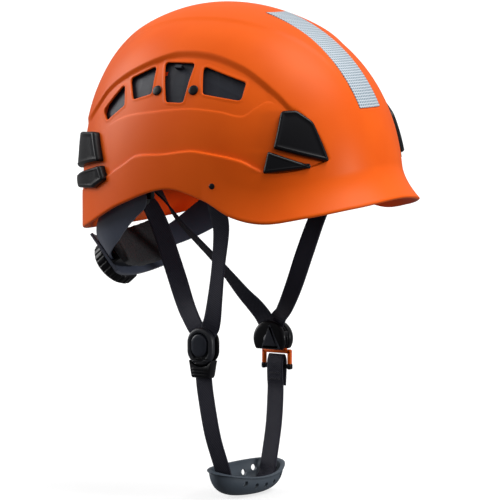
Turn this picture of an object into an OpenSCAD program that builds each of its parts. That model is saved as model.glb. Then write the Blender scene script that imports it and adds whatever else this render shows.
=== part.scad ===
// Ventilated climbing helmet for tree work: moulded shell, textile suspension with a geared
// nape adjuster, and a four-leg chin strap. Millimetres. +X is forward, +Y is the wearer's left,
// +Z is up. The origin is the centre of the wearer's head at the height of the rim datum.

/* [Shell] */
// Length of the shell without the brim, front to rear
shell_len = 266; // [262:1:270]
// Width of the shell, side to side
shell_w = 208; // [205:1:211]
// Height of the crown above the rim datum
crown_h = 165.5; // [163:0.5:168]
// Wall thickness of the shell
wall = 3; // [2.6:0.1:3.2]
// How far the brim reaches past the shell at the front
brim_reach = 14; // [10:1:16]

/* [Vents] */
// Wall thickness of the sliding vent shutters
shutter_wall = 1.8; // [1.4:0.1:2]
// Gap between the shell and a shutter
shutter_gap = 2; // [1.8:0.1:2.4]

/* [Lamp clips] */
// How far the headlamp clips stand out from the shell
clip_proud = 5; // [4:0.5:6]

/* [Headband] */
// Half length of the headband, outside
band_half_len = 99; // [97:1:100]
// Half width of the headband, outside
band_half_w = 79; // [77:1:80]
// Height of the headband
band_h = 28; // [24:1:30]

/* [Nape adjuster] */
// Radius of the two toothed arms
arm_r = 79; // [79:1:79]
// Downward tilt of the adjuster, in degrees
nape_tilt = 40; // [38:1:42]
// Number of teeth on the pinion
pinion_teeth = 10; // [10:1:10]
// Outside diameter of the ratchet knob
knob_d = 40; // [36:1:42]

/* [Chin strap] */
// Width of the webbing
web_w = 15; // [14:1:16]
// Thickness of the webbing
web_t = 1.6; // [1.2:0.1:1.8]
// Length of the chin cup, side to side
cup_len = 92; // [86:1:96]
// Width of the chin cup, front to rear
cup_w = 40; // [36:1:44]

/* [Hidden] */
$fn = 48;

shell_colour = "#e8622a";
black = "#17161a";
webbing = "#24242e";

// ---- Smooth curve through knots of [x, y] ----
function slope(k, i) = i == 0 || i == len(k) - 1 ? 0
    : (k[i + 1][1] - k[i - 1][1]) / (k[i + 1][0] - k[i - 1][0]);
function hermite(a, b, ma, mb, t) =
    (2 * t * t * t - 3 * t * t + 1) * a + (t * t * t - 2 * t * t + t) * ma
    + (3 * t * t - 2 * t * t * t) * b + (t * t * t - t * t) * mb;
function smooth(k, x, i = 0) =
    i < len(k) - 2 && x > k[i + 1][0] ? smooth(k, x, i + 1)
    : let (h = k[i + 1][0] - k[i][0])
      hermite(k[i][1], k[i + 1][1], h * slope(k, i), h * slope(k, i + 1), (x - k[i][0]) / h);

// ---- The shell's surface ----
// Angles run from 0 at the front to 180 at the rear.
plan_power = 2.15;
profile_power = 2.7;
crown_setback = 12;
brim_drop = 26;
brim_sweep = 75;
// Height of the rim against the angle from the front: brim, front lobe, side arch, rear lobe
rim_knots = [[0, 17], [20, 12], [36, 5.3], [50, 0.5], [62, 5], [74, 17], [93, 25],
             [118, 11.3], [142, -7.6], [162, -15.5], [180, -17]];
function from_front(a) = abs((a + 540) % 360 - 180);
function rim_z(a) = smooth(rim_knots, from_front(a));
function plan_r(a) = pow(pow(abs(cos(a)) / (shell_len / 2), plan_power)
                         + pow(abs(sin(a)) / (shell_w / 2), plan_power), -1 / plan_power);
function profile(u) = sqrt(1 - pow(min(1, max(0, u)), profile_power));
function flare(a, z) = from_front(a) > brim_sweep ? 0
    : brim_reach * cos(from_front(a) * 90 / brim_sweep)
      * pow(max(0, 1 - (z - rim_z(a)) / brim_drop), 1.8);
function dome(a, z, inset = 0) =
    let (r = (plan_r(a) - inset) * profile(z / (crown_h - inset)) + flare(a, z))
    [r * cos(a) - crown_setback * pow(max(0, z / crown_h), 2.2), r * sin(a), z];
function unit(v) = v / norm(v);
// Outward normal of the shell
function normal(a, z) = unit(cross(dome(a + 1, z) - dome(a - 1, z), dome(a, z + 1) - dome(a, z - 1)));

// Puts the children on the shell at an angle and height, with +Z along the outward normal
module on_shell(a, z) {
  n = normal(a, z);
  translate(dome(a, z)) rotate([0, acos(n[2]), atan2(n[1], n[0])]) children();
}
// Draws the children on the right side as they are, or mirrored to the left side
module side(left) {
  mirror([0, left ? 1 : 0, 0]) children();
}
// The same for both sides at once
module both_sides() {
  for (left = [false, true]) side(left) children();
}

// A curved plate between two surfaces, from a grid of points on each; rows of the same length
module plate(front, back) {
  m = len(front);
  n = len(front[0]);
  half = m * n;
  quads = [for (i = [0:m - 2]) for (j = [0:n - 2])
    [i * n + j, i * n + j + 1, (i + 1) * n + j, (i + 1) * n + j + 1]];
  rim = concat([for (j = [0:n - 1]) j], [for (i = [1:m - 1]) i * n + n - 1],
               [for (j = [n - 2:-1:0]) (m - 1) * n + j], [for (i = [m - 2:-1:1]) i * n]);
  polyhedron(concat([for (r = front) each r], [for (r = back) each r]), concat(
    [for (q = quads) each [[q[0], q[2], q[1]], [q[1], q[2], q[3]]]],
    [for (q = quads) each [[half + q[0], half + q[1], half + q[2]], [half + q[1], half + q[3], half + q[2]]]],
    [for (i = [0:len(rim) - 1]) let (a = rim[i], b = rim[(i + 1) % len(rim)])
      each [[a, b, half + a], [b, half + b, half + a]]]));
}
// A flat strap swept along stations of [x, y, z, width direction x, y, z]
web_steps = 4;
function station(p, i, t) =
    let (last = len(p) - 1, before = p[max(0, i - 1)], after = p[min(last, i + 2)])
    hermite(p[i], p[i + 1], (p[i + 1] - before) / (i == 0 ? 1 : 2),
            (after - p[i]) / (i + 1 == last ? 1 : 2), t);
function route(p) = concat(
    [for (i = [0:len(p) - 2]) for (j = [0:web_steps - 1]) station(p, i, j / web_steps)],
    [p[len(p) - 1]]);
module strap(stations, width = web_w, thick = web_t) {
  p = route(stations);
  last = len(p) - 1;
  rings = [for (i = [0:last])
    let (c = [p[i][0], p[i][1], p[i][2]],
         ahead = p[min(last, i + 1)] - p[max(0, i - 1)],
         t = unit([ahead[0], ahead[1], ahead[2]]),
         w0 = [p[i][3], p[i][4], p[i][5]],
         w = unit(w0 - (w0 * t) * t),
         n = cross(t, w),
         a = w * width / 2,
         b = n * thick / 2)
    [c - a - b, c + a - b, c + a + b, c - a + b]];
  n = 4 * len(rings);
  polyhedron([for (r = rings) each r], concat(
    [for (i = [0:last - 1]) for (j = [0:3]) let (a = 4 * i + j, b = 4 * i + (j + 1) % 4)
      each [[a, a + 4, b], [b, a + 4, b + 4]]],
    [[0, 1, 2], [0, 2, 3], [n - 4, n - 2, n - 3], [n - 4, n - 1, n - 2]]));
}

// ---- Shell ----
shell_rows = 13;
shell_cols = 72;
peg_places = [[-102.5, 99.8], [-80.9, 101.2]];
peg_r = 2;
foot_r = 3;
rivet_place = [-70.2, 28.7];
rivet_r = 2;
clip_feet = [[-36, 66], [-150, 54]];
hole_gap = 0.08;
// Outlines of the four vents on one side, seen from that side, as [x, z]
vent_outlines = [[[-83.6, 81], [-76.2, 73.6], [-56.5, 87], [-61, 104]],
                 [[-55.9, 108], [-47.8, 91.8], [-28.8, 97.2], [-30.8, 119]],
                 [[-23.6, 122], [-13.5, 91.2], [3, 91.2], [5, 122]],
                 [[12.8, 120.3], [18.6, 98.5], [51, 93.8], [51.3, 108]]];
function row_z(a, i, inset) = rim_z(a) + (crown_h - inset - rim_z(a)) * sin(90 * i / shell_rows);
function shell_ring(i, inset) =
    [for (j = [0:shell_cols - 1]) let (a = j * 360 / shell_cols) dome(a, row_z(a, i, inset), inset)];
module shell_wall() {
  n = shell_rows * shell_cols;
  rings = concat([for (i = [0:shell_rows - 1]) each shell_ring(i, 0)],
                 [for (i = [0:shell_rows - 1]) each shell_ring(i, wall)]);
  poles = [[-crown_setback, 0, crown_h], [-crown_setback, 0, crown_h - wall]];
  last = (shell_rows - 1) * shell_cols;
  polyhedron(concat(rings, poles), concat(
    [for (i = [0:shell_rows - 2]) for (j = [0:shell_cols - 1])
      let (k = (j + 1) % shell_cols, a = i * shell_cols, b = a + shell_cols, c = n + a, d = n + b)
      each [[a + j, b + j, a + k], [a + k, b + j, b + k], [c + j, c + k, d + j], [c + k, d + k, d + j]]],
    [for (j = [0:shell_cols - 1]) let (k = (j + 1) % shell_cols)
      each [[j, k, n + j], [k, n + k, n + j],
            [last + j, 2 * n, last + k], [n + last + j, n + last + k, 2 * n + 1]]]));
}
// Sockets moulded inside the shell for the four harness clips, each with a slot open below
clip_angles = [-42, 42, -145, 145];
socket_z = [38, 46];
// Puts the children on the inside of the wall, square to it, with +X pointing out through it
module at_wall(a) {
  n = normal(a, socket_z[0]);
  p = dome(a, socket_z[0], wall);
  translate([p[0], p[1], 0]) rotate([0, 0, atan2(n[1], n[0])]) children();
}
module socket(a) {
  at_wall(a) translate([-7.4, -13, socket_z[0]]) difference() {
    cube([8.6, 26, socket_z[1] - socket_z[0]]);
    translate([2.4, 3, -1]) cube([3.6, 20, 6]);
  }
}
module shell() {
  color(shell_colour) difference() {
    union() {
      shell_wall();
      for (a = clip_angles) socket(a);
    }
    both_sides() {
      for (v = vent_outlines) rotate([90, 0, 0]) translate([0, 0, 55]) linear_extrude(60) polygon(v);
      for (p = peg_places) on_shell(p[0], p[1]) cylinder(r = peg_r + hole_gap, h = 20, center = true);
      for (p = clip_feet) on_shell(p[0], p[1]) cylinder(r = foot_r + hole_gap, h = 20, center = true);
      on_shell(rivet_place[0], rivet_place[1]) cylinder(r = rivet_r + hole_gap, h = 20, center = true);
    }
  }
}

// ---- Reflective strip on the front of the crest ----
strip_half_w = 15;
strip_z = [86, 158];
strip_t = 0.6;
strip_rows = 14;
function crest_point(y, z, inset) =
    dome(asin(y / (shell_len / 2 * profile(z / crown_h))), z, inset);
module reflective_strip() {
  heights = [for (i = [0:strip_rows]) strip_z[0] + (strip_z[1] - strip_z[0]) * i / strip_rows];
  color("lightgrey") plate(
    [for (z = heights) [for (y = [-1:0.25:1]) crest_point(y * strip_half_w, z, -0.25 - strip_t)]],
    [for (z = heights) [for (y = [-1:0.25:1]) crest_point(y * strip_half_w, z, -0.25)]]);
}

// ---- Vent shutters: curved panels that slide round inside the shell ----
shutter_angles = [-138, -53];
shutter_cols = 12;
shutter_rows = 5;
shutter_mid = -94;
function shutter_low(a) = 88 - 22 * pow((a - shutter_mid) / 42, 2);
function shutter_high(a) = 127 - 19 * pow((a - shutter_mid) / 42, 2);
function shutter_grid(inset) = [for (i = [0:shutter_rows]) [for (j = [0:shutter_cols])
    let (a = shutter_angles[0] + (shutter_angles[1] - shutter_angles[0]) * j / shutter_cols,
         z = shutter_low(a) + (shutter_high(a) - shutter_low(a)) * i / shutter_rows)
    dome(a, z, inset)]];
tab_place = [-92.6, 119];
module shutter() {
  difference() {
    union() {
      plate(shutter_grid(wall + shutter_gap), shutter_grid(wall + shutter_gap + shutter_wall));
      // Thumb tab that shows at the top of the third vent
      on_shell(tab_place[0], tab_place[1]) translate([-1.2, -3, -6.4]) cube([2.4, 6, 5]);
    }
    // Slots that ride on the two pegs, running up from the pegs
    for (p = peg_places) on_shell(p[0], p[1]) translate([-17.5, -2.8, -12]) cube([20, 5.6, 12]);
  }
}
module vent_shutter_right() color(black) side(false) shutter();
module vent_shutter_left() color(black) side(true) shutter();
// Pegs with a round head outside and a washer head inside the shutter
module shutter_pegs() {
  depth = wall + shutter_gap + shutter_wall + 1;
  color(black) both_sides() for (p = peg_places) on_shell(p[0], p[1]) rotate_extrude()
    polygon([[0, -depth - 1.6], [4, -depth - 1.6], [4, -depth], [peg_r, -depth], [peg_r, 0.4],
             [3.9, 0.4], [3.9, 1], [3.2, 1.5], [0, 1.7]]);
}

// ---- Headlamp clips ----
// Corners run from the top corner nearest the middle of the helmet, then along the top, [angle, z]
front_upper = [[-41, 85], [-31, 84.5], [-25.7, 46.2], [-45.4, 57.2]];
front_lower = [[-47.4, 55.2], [-31.8, 44], [-34, 41.3], [-49.8, 37.8]];
rear_upper = [[-137, 64], [-158, 61], [-163, 31], [-130.9, 42]];
rear_lower = [[-130.4, 38.2], [-160, 25.5], [-151, 17.5], [-126.8, 27]];
clip_steps = 5;
function corner_mix(q, u, v) = (q[0] * (1 - u) + q[1] * u) * (1 - v) + (q[3] * (1 - u) + q[2] * u) * v;
function clip_grid(q, inset, crown) = [for (i = [clip_steps:-1:0]) [for (j = [0:clip_steps])
    let (u = j / clip_steps, v = i / clip_steps, p = corner_mix(q, u, v))
    dome(p[0], p[1], inset - crown * sin(180 * u) * sin(180 * v))]];
function flipped(g) = [for (r = g) [for (j = [len(r) - 1:-1:0]) r[j]]];
module clip_plate(q) {
  outer = clip_grid(q, 1.2 - clip_proud, 1.6);
  inner = clip_grid(q, -0.25, 0);
  if (q[1][0] > q[0][0]) plate(outer, inner);
  else plate(flipped(outer), flipped(inner));
}
module lamp_clip(upper, lower, foot) {
  clip_plate(upper);
  clip_plate(lower);
  // Bridge that joins the two plates at the closed end of the strap slot
  clip_plate([corner_mix(upper, 0.72, 0.8), corner_mix(upper, 0.98, 0.8), corner_mix(lower, 0.96, 0.5),
              corner_mix(lower, 0.72, 0.5)]);
  // Foot through the shell with a snap head inside
  on_shell(foot[0], foot[1]) rotate_extrude()
    polygon([[0, -wall - 3], [foot_r, -wall - 3], [foot_r + 1, -wall - 1.2], [foot_r + 1, -wall - 0.6],
             [foot_r, -wall - 0.6], [foot_r, 1.5], [0, 1.5]]);
}
module lamp_clip_front_right() color(black) side(false) lamp_clip(front_upper, front_lower, clip_feet[0]);
module lamp_clip_front_left() color(black) side(true) lamp_clip(front_upper, front_lower, clip_feet[0]);
module lamp_clip_rear_right() color(black) side(false) lamp_clip(rear_upper, rear_lower, clip_feet[1]);
module lamp_clip_rear_left() color(black) side(true) lamp_clip(rear_upper, rear_lower, clip_feet[1]);

// ---- Suspension ----
band_power = 2.1;
band_t = 2;
band_z = 24;
brow_t = 5;
function ring_r(a, inset) = pow(pow(abs(cos(a)) / (band_half_len - inset), band_power)
                                + pow(abs(sin(a)) / (band_half_w - inset), band_power), -1 / band_power);
// Part of the head ring, between two insets and two angles
module ring_part(half_angle, outer, inner, steps) {
  arc = [for (i = [0:steps]) -half_angle + 2 * half_angle * i / steps];
  polygon(concat([for (a = arc) ring_r(a, outer) * [cos(a), sin(a)]],
                 [for (i = [steps:-1:0]) ring_r(arc[i], inner) * [cos(arc[i]), sin(arc[i])]]));
}
pivot_x = -50;
pivot_z = 12;
module headband() {
  color(black) union() {
    translate([0, 0, band_z]) linear_extrude(band_h) ring_part(122, 0, band_t, 48);
    // Ears that face the eyes of the nape arms, one each side
    both_sides() translate([pivot_x, 0, pivot_z]) rotate([90, 0, 0]) {
      translate([-6, 0, 66]) cube([16, 20, 5.5]);
      translate([0, 0, 66]) cylinder(r = 6, h = 11.7);
    }
  }
}
module brow_pad() color("#202024") translate([0, 0, band_z - 3]) linear_extrude(band_h + 4)
  ring_part(74, band_t + 0.4, band_t + 0.4 + brow_t, 30);

// Clips that hang the suspension from the sockets in the shell
clip_inner = [22.7, 22.7, 34.6, 34.6];
module harness_clips() {
  color(black) for (i = [0:3]) at_wall(clip_angles[i]) {
    translate([-4.7, -9.5, 30]) cube([3, 19, 12.6]);
    translate([-clip_inner[i], -9.5, 27]) cube([clip_inner[i] - 1.7, 19, 3.2]);
    translate([-clip_inner[i], -11, 14]) cube([2.6, 22, 14]);
  }
}
// Webbing that carries the helmet over the wearer's head
crown_web_w = 18;
crown_web_t = 1.2;
cradle_base = 31.5;
cradle_r = 100;
cradle_lift = 92;
clip_front_angle = clip_angles[1];
clip_rear_angle = clip_angles[3];
module cradle_strap(hand, lift) {
  across = [-sin(hand * clip_front_angle), cos(hand * clip_front_angle), 0];
  strap([for (t = [0:20:180])
    let (front = t <= 90, a = front ? hand * clip_front_angle : -hand * clip_rear_angle,
         r = cradle_r * abs(cos(t)))
    [r * cos(a), r * sin(a), cradle_base + lift * sin(t), across[0], across[1], 0]],
    crown_web_w, crown_web_t);
}
module crown_strap_lower() color(webbing) cradle_strap(1, cradle_lift);
module crown_strap_upper() color(webbing) cradle_strap(-1, cradle_lift + 2.2);
// Soft dome under the crossing of the cradle
pad_ball_r = 71;
pad_t = 5;
pad_reach = 30;
module crown_pad() {
  color("#202024") translate([0, 0, cradle_base + cradle_lift - 1.4 - pad_ball_r]) rotate_extrude()
    intersection() {
      difference() {
        circle(r = pad_ball_r, $fn = 180);
        circle(r = pad_ball_r - pad_t, $fn = 180);
      }
      translate([0, pad_ball_r / 2]) square([pad_reach, pad_ball_r / 2]);
    }
}
// Band across the back between the rear harness clips; the rear chin straps loop over it
yoke_z = 20;
module rear_yoke() {
  half = [[-67.5, 46.7], [-74, 41], [-82.3, 34.5], [-89.3, 27], [-92.9, 18.5], [-93, 9]];
  knots = concat(half, [[-93, 0]], [for (i = [5:-1:0]) [half[i][0], -half[i][1]]]);
  color(webbing) strap([for (k = knots) [k[0], k[1], yoke_z, 0, 0, 1]], 14, web_t);
}

// ---- Nape adjuster, drawn level about the centre of its arcs with the rear towards -X ----
tooth_pitch = PI;
pitch_r = pinion_teeth / 2;
tooth_out = 0.6;
tooth_in = 1.1;
arm_t = 1.6;
layer_step = 2;
rack_reach = 16;
arm_tip = 20;
module nape() translate([pivot_x, 0, pivot_z]) rotate([0, -nape_tilt, 0]) children();
// Puts an outline of [y, z] in the plane across the rear, pushed along X
module facing_rear(from, depth) translate([from, 0, 0]) rotate([90, 0, 90]) linear_extrude(depth) children();
module arc_band(inner, outer, half_h) rotate_extrude($fn = 180)
  translate([inner, -half_h]) square([outer - inner, 2 * half_h]);
// Part of a band centred on the rear
module rear_arc(inner, outer, half_h, half_angle) intersection() {
  arc_band(inner, outer, half_h);
  linear_extrude(4 * half_h, center = true)
    polygon([[0, 0], [-120 * cos(half_angle), -120 * sin(half_angle)], [-160, 0],
             [-120 * cos(half_angle), 120 * sin(half_angle)]]);
}
module tooth(half_root, half_tip, root, tip)
  polygon([[-half_root, root], [-half_tip, tip], [half_tip, tip], [half_root, root]]);
// One arm, running from the left ear to past the centre, with a rack on the upper edge of its slot
module rack_arm(r) {
  slot_half = r * sin(rack_reach);
  root_z = pitch_r + tooth_in;
  tip_y = r * sin(arm_tip);
  difference() {
    intersection() {
      arc_band(r - arm_t / 2, r + arm_t / 2, 20);
      union() {
        facing_rear(-r - 5, r + 5)
          polygon([[-tip_y, -9], [-tip_y, 9], [r * sin(38), 9], [r * sin(62), 13], [r + 3, 11.5],
                   [r + 3, -11.5], [r * sin(62), -13], [r * sin(38), -9]]);
        translate([0, r - 6, 0]) rotate([-90, 0, 0]) cylinder(r = 12, h = 12);
      }
    }
    facing_rear(-r - 5, 12) translate([-slot_half, -pitch_r - 1.7])
      square([2 * slot_half, root_z + pitch_r + 1.7]);
  }
  for (k = [-6:6]) rotate([0, 0, k * tooth_pitch / r * 180 / PI])
    facing_rear(-r - arm_t / 2 + 0.1, arm_t - 0.2)
      tooth(0.8, 0.4, root_z + 0.2, pitch_r - tooth_out);
}
module arm_left() color(black) nape() rack_arm(arm_r);
module arm_right() color(black) nape() rotate([180, 0, 0]) rack_arm(arm_r + layer_step);
channel_half_h = 9.4;
housing_angle = 27;
housing_r = [arm_r - 3.6, arm_r - 1.4];
cover_r = [arm_r + 3.6, arm_r + 6];
cover_half_h = 19;
hub_r = 4.5;
screw_r = 1.5;
module nape_housing() color(black) nape() union() {
  rear_arc(housing_r[0], housing_r[1], channel_half_h + 2.6, housing_angle);
  for (z = [-1, 1]) translate([0, 0, z * (channel_half_h + 1.4)])
    rear_arc(housing_r[0], cover_r[0] - 0.2, 1.2, housing_angle);
}
module nape_cover() color(black) nape() difference() {
  rear_arc(cover_r[0], cover_r[1], cover_half_h, housing_angle);
  translate([-cover_r[1] - 5, 0, 0]) rotate([0, 90, 0]) cylinder(r = hub_r + 0.05, h = 12);
}
module nape_pad() color("#202024") nape()
  rear_arc(housing_r[0] - 5.4, housing_r[0] - 0.4, cover_half_h - 1, housing_angle + 3);
module pinion() color(black) nape() difference() {
  union() {
    facing_rear(-cover_r[0] + 0.3, 4.6) union() {
      circle(r = pitch_r - tooth_in);
      for (k = [0:pinion_teeth - 1]) rotate((k + 0.5) * 360 / pinion_teeth)
        tooth(0.85, 0.4, pitch_r - tooth_in - 0.4, pitch_r + tooth_out);
    }
    translate([-cover_r[1] - 1.2, 0, 0]) rotate([0, 90, 0]) cylinder(r = hub_r, h = 3.9);
  }
  translate([-cover_r[1] - 2, 0, 0]) rotate([0, 90, 0]) cylinder(r = screw_r + 0.05, h = 6.4);
}
knob_t = 12;
knob_grooves = 24;
knob_x = -cover_r[1] - 1.2;
module knob() color(black) nape() difference() {
  translate([knob_x, 0, 0]) rotate([0, -90, 0]) rotate_extrude($fn = 96)
    polygon([[screw_r + 0.05, 0], [knob_d / 2 - 3, 0], [knob_d / 2, 2.5], [knob_d / 2, knob_t - 2.5],
             [knob_d / 2 - 2.5, knob_t], [knob_d / 2 - 7, knob_t], [knob_d / 2 - 8, knob_t - 1.5],
             [4, knob_t - 1.5], [4, knob_t - 4], [screw_r + 0.05, knob_t - 4]]);
  for (k = [0:knob_grooves - 1]) rotate([k * 360 / knob_grooves, 0, 0])
    translate([knob_x - knob_t - 1, 0, knob_d / 2 + 0.7]) rotate([0, 90, 0])
      cylinder(r = 1.6, h = knob_t + 2, $fn = 16);
}
module knob_screw() color("silver") nape() translate([knob_x - knob_t + 1.7, 0, 0]) rotate([0, 90, 0])
  rotate_extrude()
    polygon([[0, 0], [3.2, 0], [3.4, 0.6], [3.4, 2], [screw_r, 2.3], [screw_r, 13.8], [0, 13.8]]);

// ---- Chin strap ----
// Rivets that hold the front straps to the shell
rivet_inset = 4.9;
module strap_rivets() color(black) both_sides() on_shell(rivet_place[0], rivet_place[1]) rotate_extrude()
  polygon([[0, -rivet_inset - 2.6], [4.2, -rivet_inset - 2.6], [4.2, -rivet_inset - 1.1],
           [rivet_r, -rivet_inset - 1.1], [rivet_r, -0.3], [0, -0.3]]);
function on_wall(z) = dome(rivet_place[0], z, rivet_inset);
front_stations = [
  [on_wall(38)[0], on_wall(38)[1], 38, 0.984, 0.177, 0],
  [on_wall(29)[0], on_wall(29)[1], 29, 0.984, 0.177, 0],
  [on_wall(20)[0], on_wall(20)[1] + 1, 20, 0.984, 0.17, 0],
  [30.5, -83, 5, 0.98, 0.15, 0], [26.3, -72.7, -10, 1, -0.1, 0], [19, -65.2, -38, 0.94, -0.3, 0],
  [12.2, -59.3, -65, 0.96, -0.2, 0.1], [6.6, -54.6, -83, 0.96, -0.05, 0.25],
  [2.4, -52.3, -90.5, 0.96, 0, 0.26], [-1.4, -52, -97, 0.97, 0, 0.2]];
rear_stations = [
  [-95.4, -12, 12, 0, 1, 0], [-95.4, -12, 25, 0, 1, 0], [-93, -12, 30, 0, 1, 0],
  [-90.6, -12, 25, 0, 1, 0], [-90, -12, 14, 0.05, 1, 0], [-80, -12, 2, 0.45, 0.85, 0.1],
  [-67.5, -15.8, -15, 0.63, 0.73, 0.25], [-43, -32.5, -47, 0.66, 0.62, 0.35],
  [-26.5, -43.2, -71, 0.85, 0.3, 0.45], [-18.5, -47.8, -81, 0.9, 0.08, 0.45],
  [-12.6, -50, -88.5, 0.93, 0, 0.38], [-8.6, -50, -94, 0.97, 0, 0.25], [-6.6, -50, -97.5, 1, 0, 0.15]];
module front_strap() difference() {
  strap(front_stations);
  on_shell(rivet_place[0], rivet_place[1]) cylinder(r = rivet_r + 0.1, h = 30, center = true);
}
module front_strap_right() color(webbing) side(false) front_strap();
module front_strap_left() color(webbing) side(true) front_strap();
module rear_strap_right() color(webbing) side(false) strap(rear_stations);
module rear_strap_left() color(webbing) side(true) strap(rear_stations);

// Where the straps of each side join; the swivel axis of the lower strap runs along Y
join_x = -3.5;
join_y = 51;
swivel_z = -108;
oval_w = 24;
oval_h = 30;
oval_z = -104;
gap_half = [2.2, 2];
pin_r = 2.5;
post_x = 10.4;
module stadium(w, h) {
  circle(d = w);
  translate([0, (h - w) / 2]) circle(d = w);
  translate([0, (w - h) / 2]) circle(d = w);
  square([w, h - w], center = true);
}
// Puts an outline of [x, z] about the joining point, pushed towards +Y from y to y + depth
module across(y, depth, z) translate([join_x, y, z]) mirror([0, 1, 0]) rotate([90, 0, 0])
  linear_extrude(depth) children();
module divider_front() color(black) difference() {
  union() {
    across(-join_y - gap_half[0] - 5, 5, oval_z) stadium(oval_w, oval_h);
    for (x = [-1, 1]) across(-join_y - gap_half[0] - 1, gap_half[0] + gap_half[1] + 3, oval_z)
      translate([x * post_x, 0]) circle(r = 1.5);
    across(-join_y - gap_half[0] - 1, gap_half[0] + gap_half[1] + 3, swivel_z) circle(r = pin_r);
  }
  across(-join_y - gap_half[0] - 6, 4.8, oval_z) stadium(16, 20);
}
module divider_back() color(black) difference() {
  across(-join_y + gap_half[1], 2.8, oval_z) stadium(oval_w, oval_h);
  for (x = [-1, 1]) across(-join_y, 8, oval_z) translate([x * post_x, 0]) circle(r = 1.55);
  across(-join_y, 8, swivel_z) circle(r = pin_r + 0.05);
}
module divider_button() color(black) across(-join_y - gap_half[0] - 5.9, 2.8, oval_z) stadium(15.4, 19.4);
module divider_spring() color("silver") across(-join_y - gap_half[0] - 1.75, 0.5, oval_z) difference() {
  circle(r = 6);
  circle(r = 5.2);
}
sleeve_z = [-129, -120.6];
module divider_swivel() color(black) difference() {
  union() {
    across(-join_y - 1.9, 3.6, swivel_z) circle(r = 6.5);
    across(-join_y - 1.9, 3.6, swivel_z) translate([-4, -13]) square([8, 12]);
    across(-join_y - 2.8, 5.6, (sleeve_z[0] + sleeve_z[1]) / 2)
      square([19, sleeve_z[1] - sleeve_z[0]], center = true);
  }
  across(-join_y - 4, 8, swivel_z) circle(r = pin_r + 0.05);
  across(-join_y - 1.1, 2.2, sleeve_z[0] + 3) square([15.6, 8], center = true);
}
// Left side: two discs clamp the straps, and the buckle hangs outside them on a rivet
disc_r = 15;
cut_z = -116.5;
module disc_part(y, depth, r) intersection() {
  across(y, depth, swivel_z) circle(r = r, $fn = 96);
  translate([join_x - 30, y - 1, cut_z]) cube([60, depth + 2, 60]);
}
module junction_plate() color(black) difference() {
  union() {
    disc_part(join_y - gap_half[1] - 3, 3, disc_r);
    disc_part(join_y + gap_half[0], 1.6, disc_r - 1);
    for (x = [-1, 1]) across(join_y - gap_half[1] - 1, gap_half[0] + gap_half[1] + 2, oval_z)
      translate([x * (post_x + 2.2), 0]) circle(r = 1.5);
  }
  across(join_y - 8, 16, swivel_z) circle(r = pin_r + 0.05);
}
receiver_y = join_y + gap_half[0] + 1.9;
receiver_t = 7.6;
module junction_rivet() color("silver") translate([join_x, 0, swivel_z]) rotate([-90, 0, 0])
  rotate_extrude() translate([0, join_y]) polygon([[0, -6.4], [4, -6.4], [4.4, -5.3], [pin_r, -5.1],
    [pin_r, gap_half[0] + 1.9 + receiver_t + 0.2], [3.6, gap_half[0] + 1.9 + receiver_t + 0.2],
    [3.4, gap_half[0] + 1.9 + receiver_t + 1], [0, gap_half[0] + 1.9 + receiver_t + 1.2]]);
button_z = -98.4;
button_r = 4;
module buckle_receiver() color(black) difference() {
  disc_part(receiver_y, receiver_t, disc_r);
  across(receiver_y - 1, receiver_t + 2, swivel_z) circle(r = pin_r + 0.05);
  for (x = [-1, 1]) across(receiver_y + 2, 3.6, -110) translate([x * 6.6, 0])
    square([5.4, 14], center = true);
  across(receiver_y + 3.4, receiver_t, button_z) circle(r = button_r + 0.1);
}
module release_button() color(black) across(receiver_y + 5.6, 3.4, button_z) circle(r = button_r);
module release_spring() color("silver") across(receiver_y + 3.45, 0.5, button_z) difference() {
  circle(r = 3);
  circle(r = 2.3);
}
tongue_y = receiver_y + 2.3;
tongue_t = 3;
tongue_bar_z = -131;
module buckle_tongue() color(shell_colour) across(tongue_y, tongue_t, 0) {
  translate([-13.5, -120.6]) square([27, 3.4]);
  for (x = [-13.5, 10.7]) translate([x, -128.4]) square([2.8, 10]);
  for (x = [-1, 1]) translate([x * 6.6 - 2.4, -118]) square([4.8, 14]);
}
// Black ends of the tongue with the round bar that carries the webbing
module tongue_tips() color(black) {
  for (x = [-1, 1]) across(tongue_y - 0.4, tongue_t + 0.8, tongue_bar_z) translate([x * 12.1, 0])
    square([3.4, 5], center = true);
  translate([join_x - 12, tongue_y + tongue_t / 2, tongue_bar_z]) rotate([0, 90, 0])
    cylinder(r = 1.6, h = 24);
}
strap_gap = 2.9;
tongue_mid = tongue_y + tongue_t / 2;
lower_tail = [[1.5, 46, -176, 1, 0, 0], [3.6, 35.5, -203, 1, 0, 0], [4, 32, -213, 1, 0, 0],
              [4, 27, -218.5, 1, 0, 0], [4, 19, -221.1, 1, 0, 0]];
right_stations = concat([[join_x, join_y, -122.3, 1, 0, 0], [join_x, join_y, -130, 1, 0, 0],
                         [-2, 50, -146, 1, 0, 0]], lower_tail);
left_stations = concat([
  [join_x, tongue_mid + strap_gap, -152, 1, 0, 0], [join_x, tongue_mid + strap_gap, -140, 1, 0, 0],
  [join_x, tongue_mid + strap_gap, -130.6, 1, 0, 0], [join_x, tongue_mid, -127, 1, 0, 0],
  [join_x, tongue_mid - strap_gap, -130.6, 1, 0, 0], [join_x, tongue_mid - strap_gap, -140, 1, 0, 0],
  [join_x + 0.4, tongue_mid - strap_gap, -151, 1, 0, 0]], lower_tail);
module lower_strap_right() color(webbing) side(true) strap(right_stations);
module lower_strap_left() color(webbing) side(false) strap(left_stations);

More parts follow.
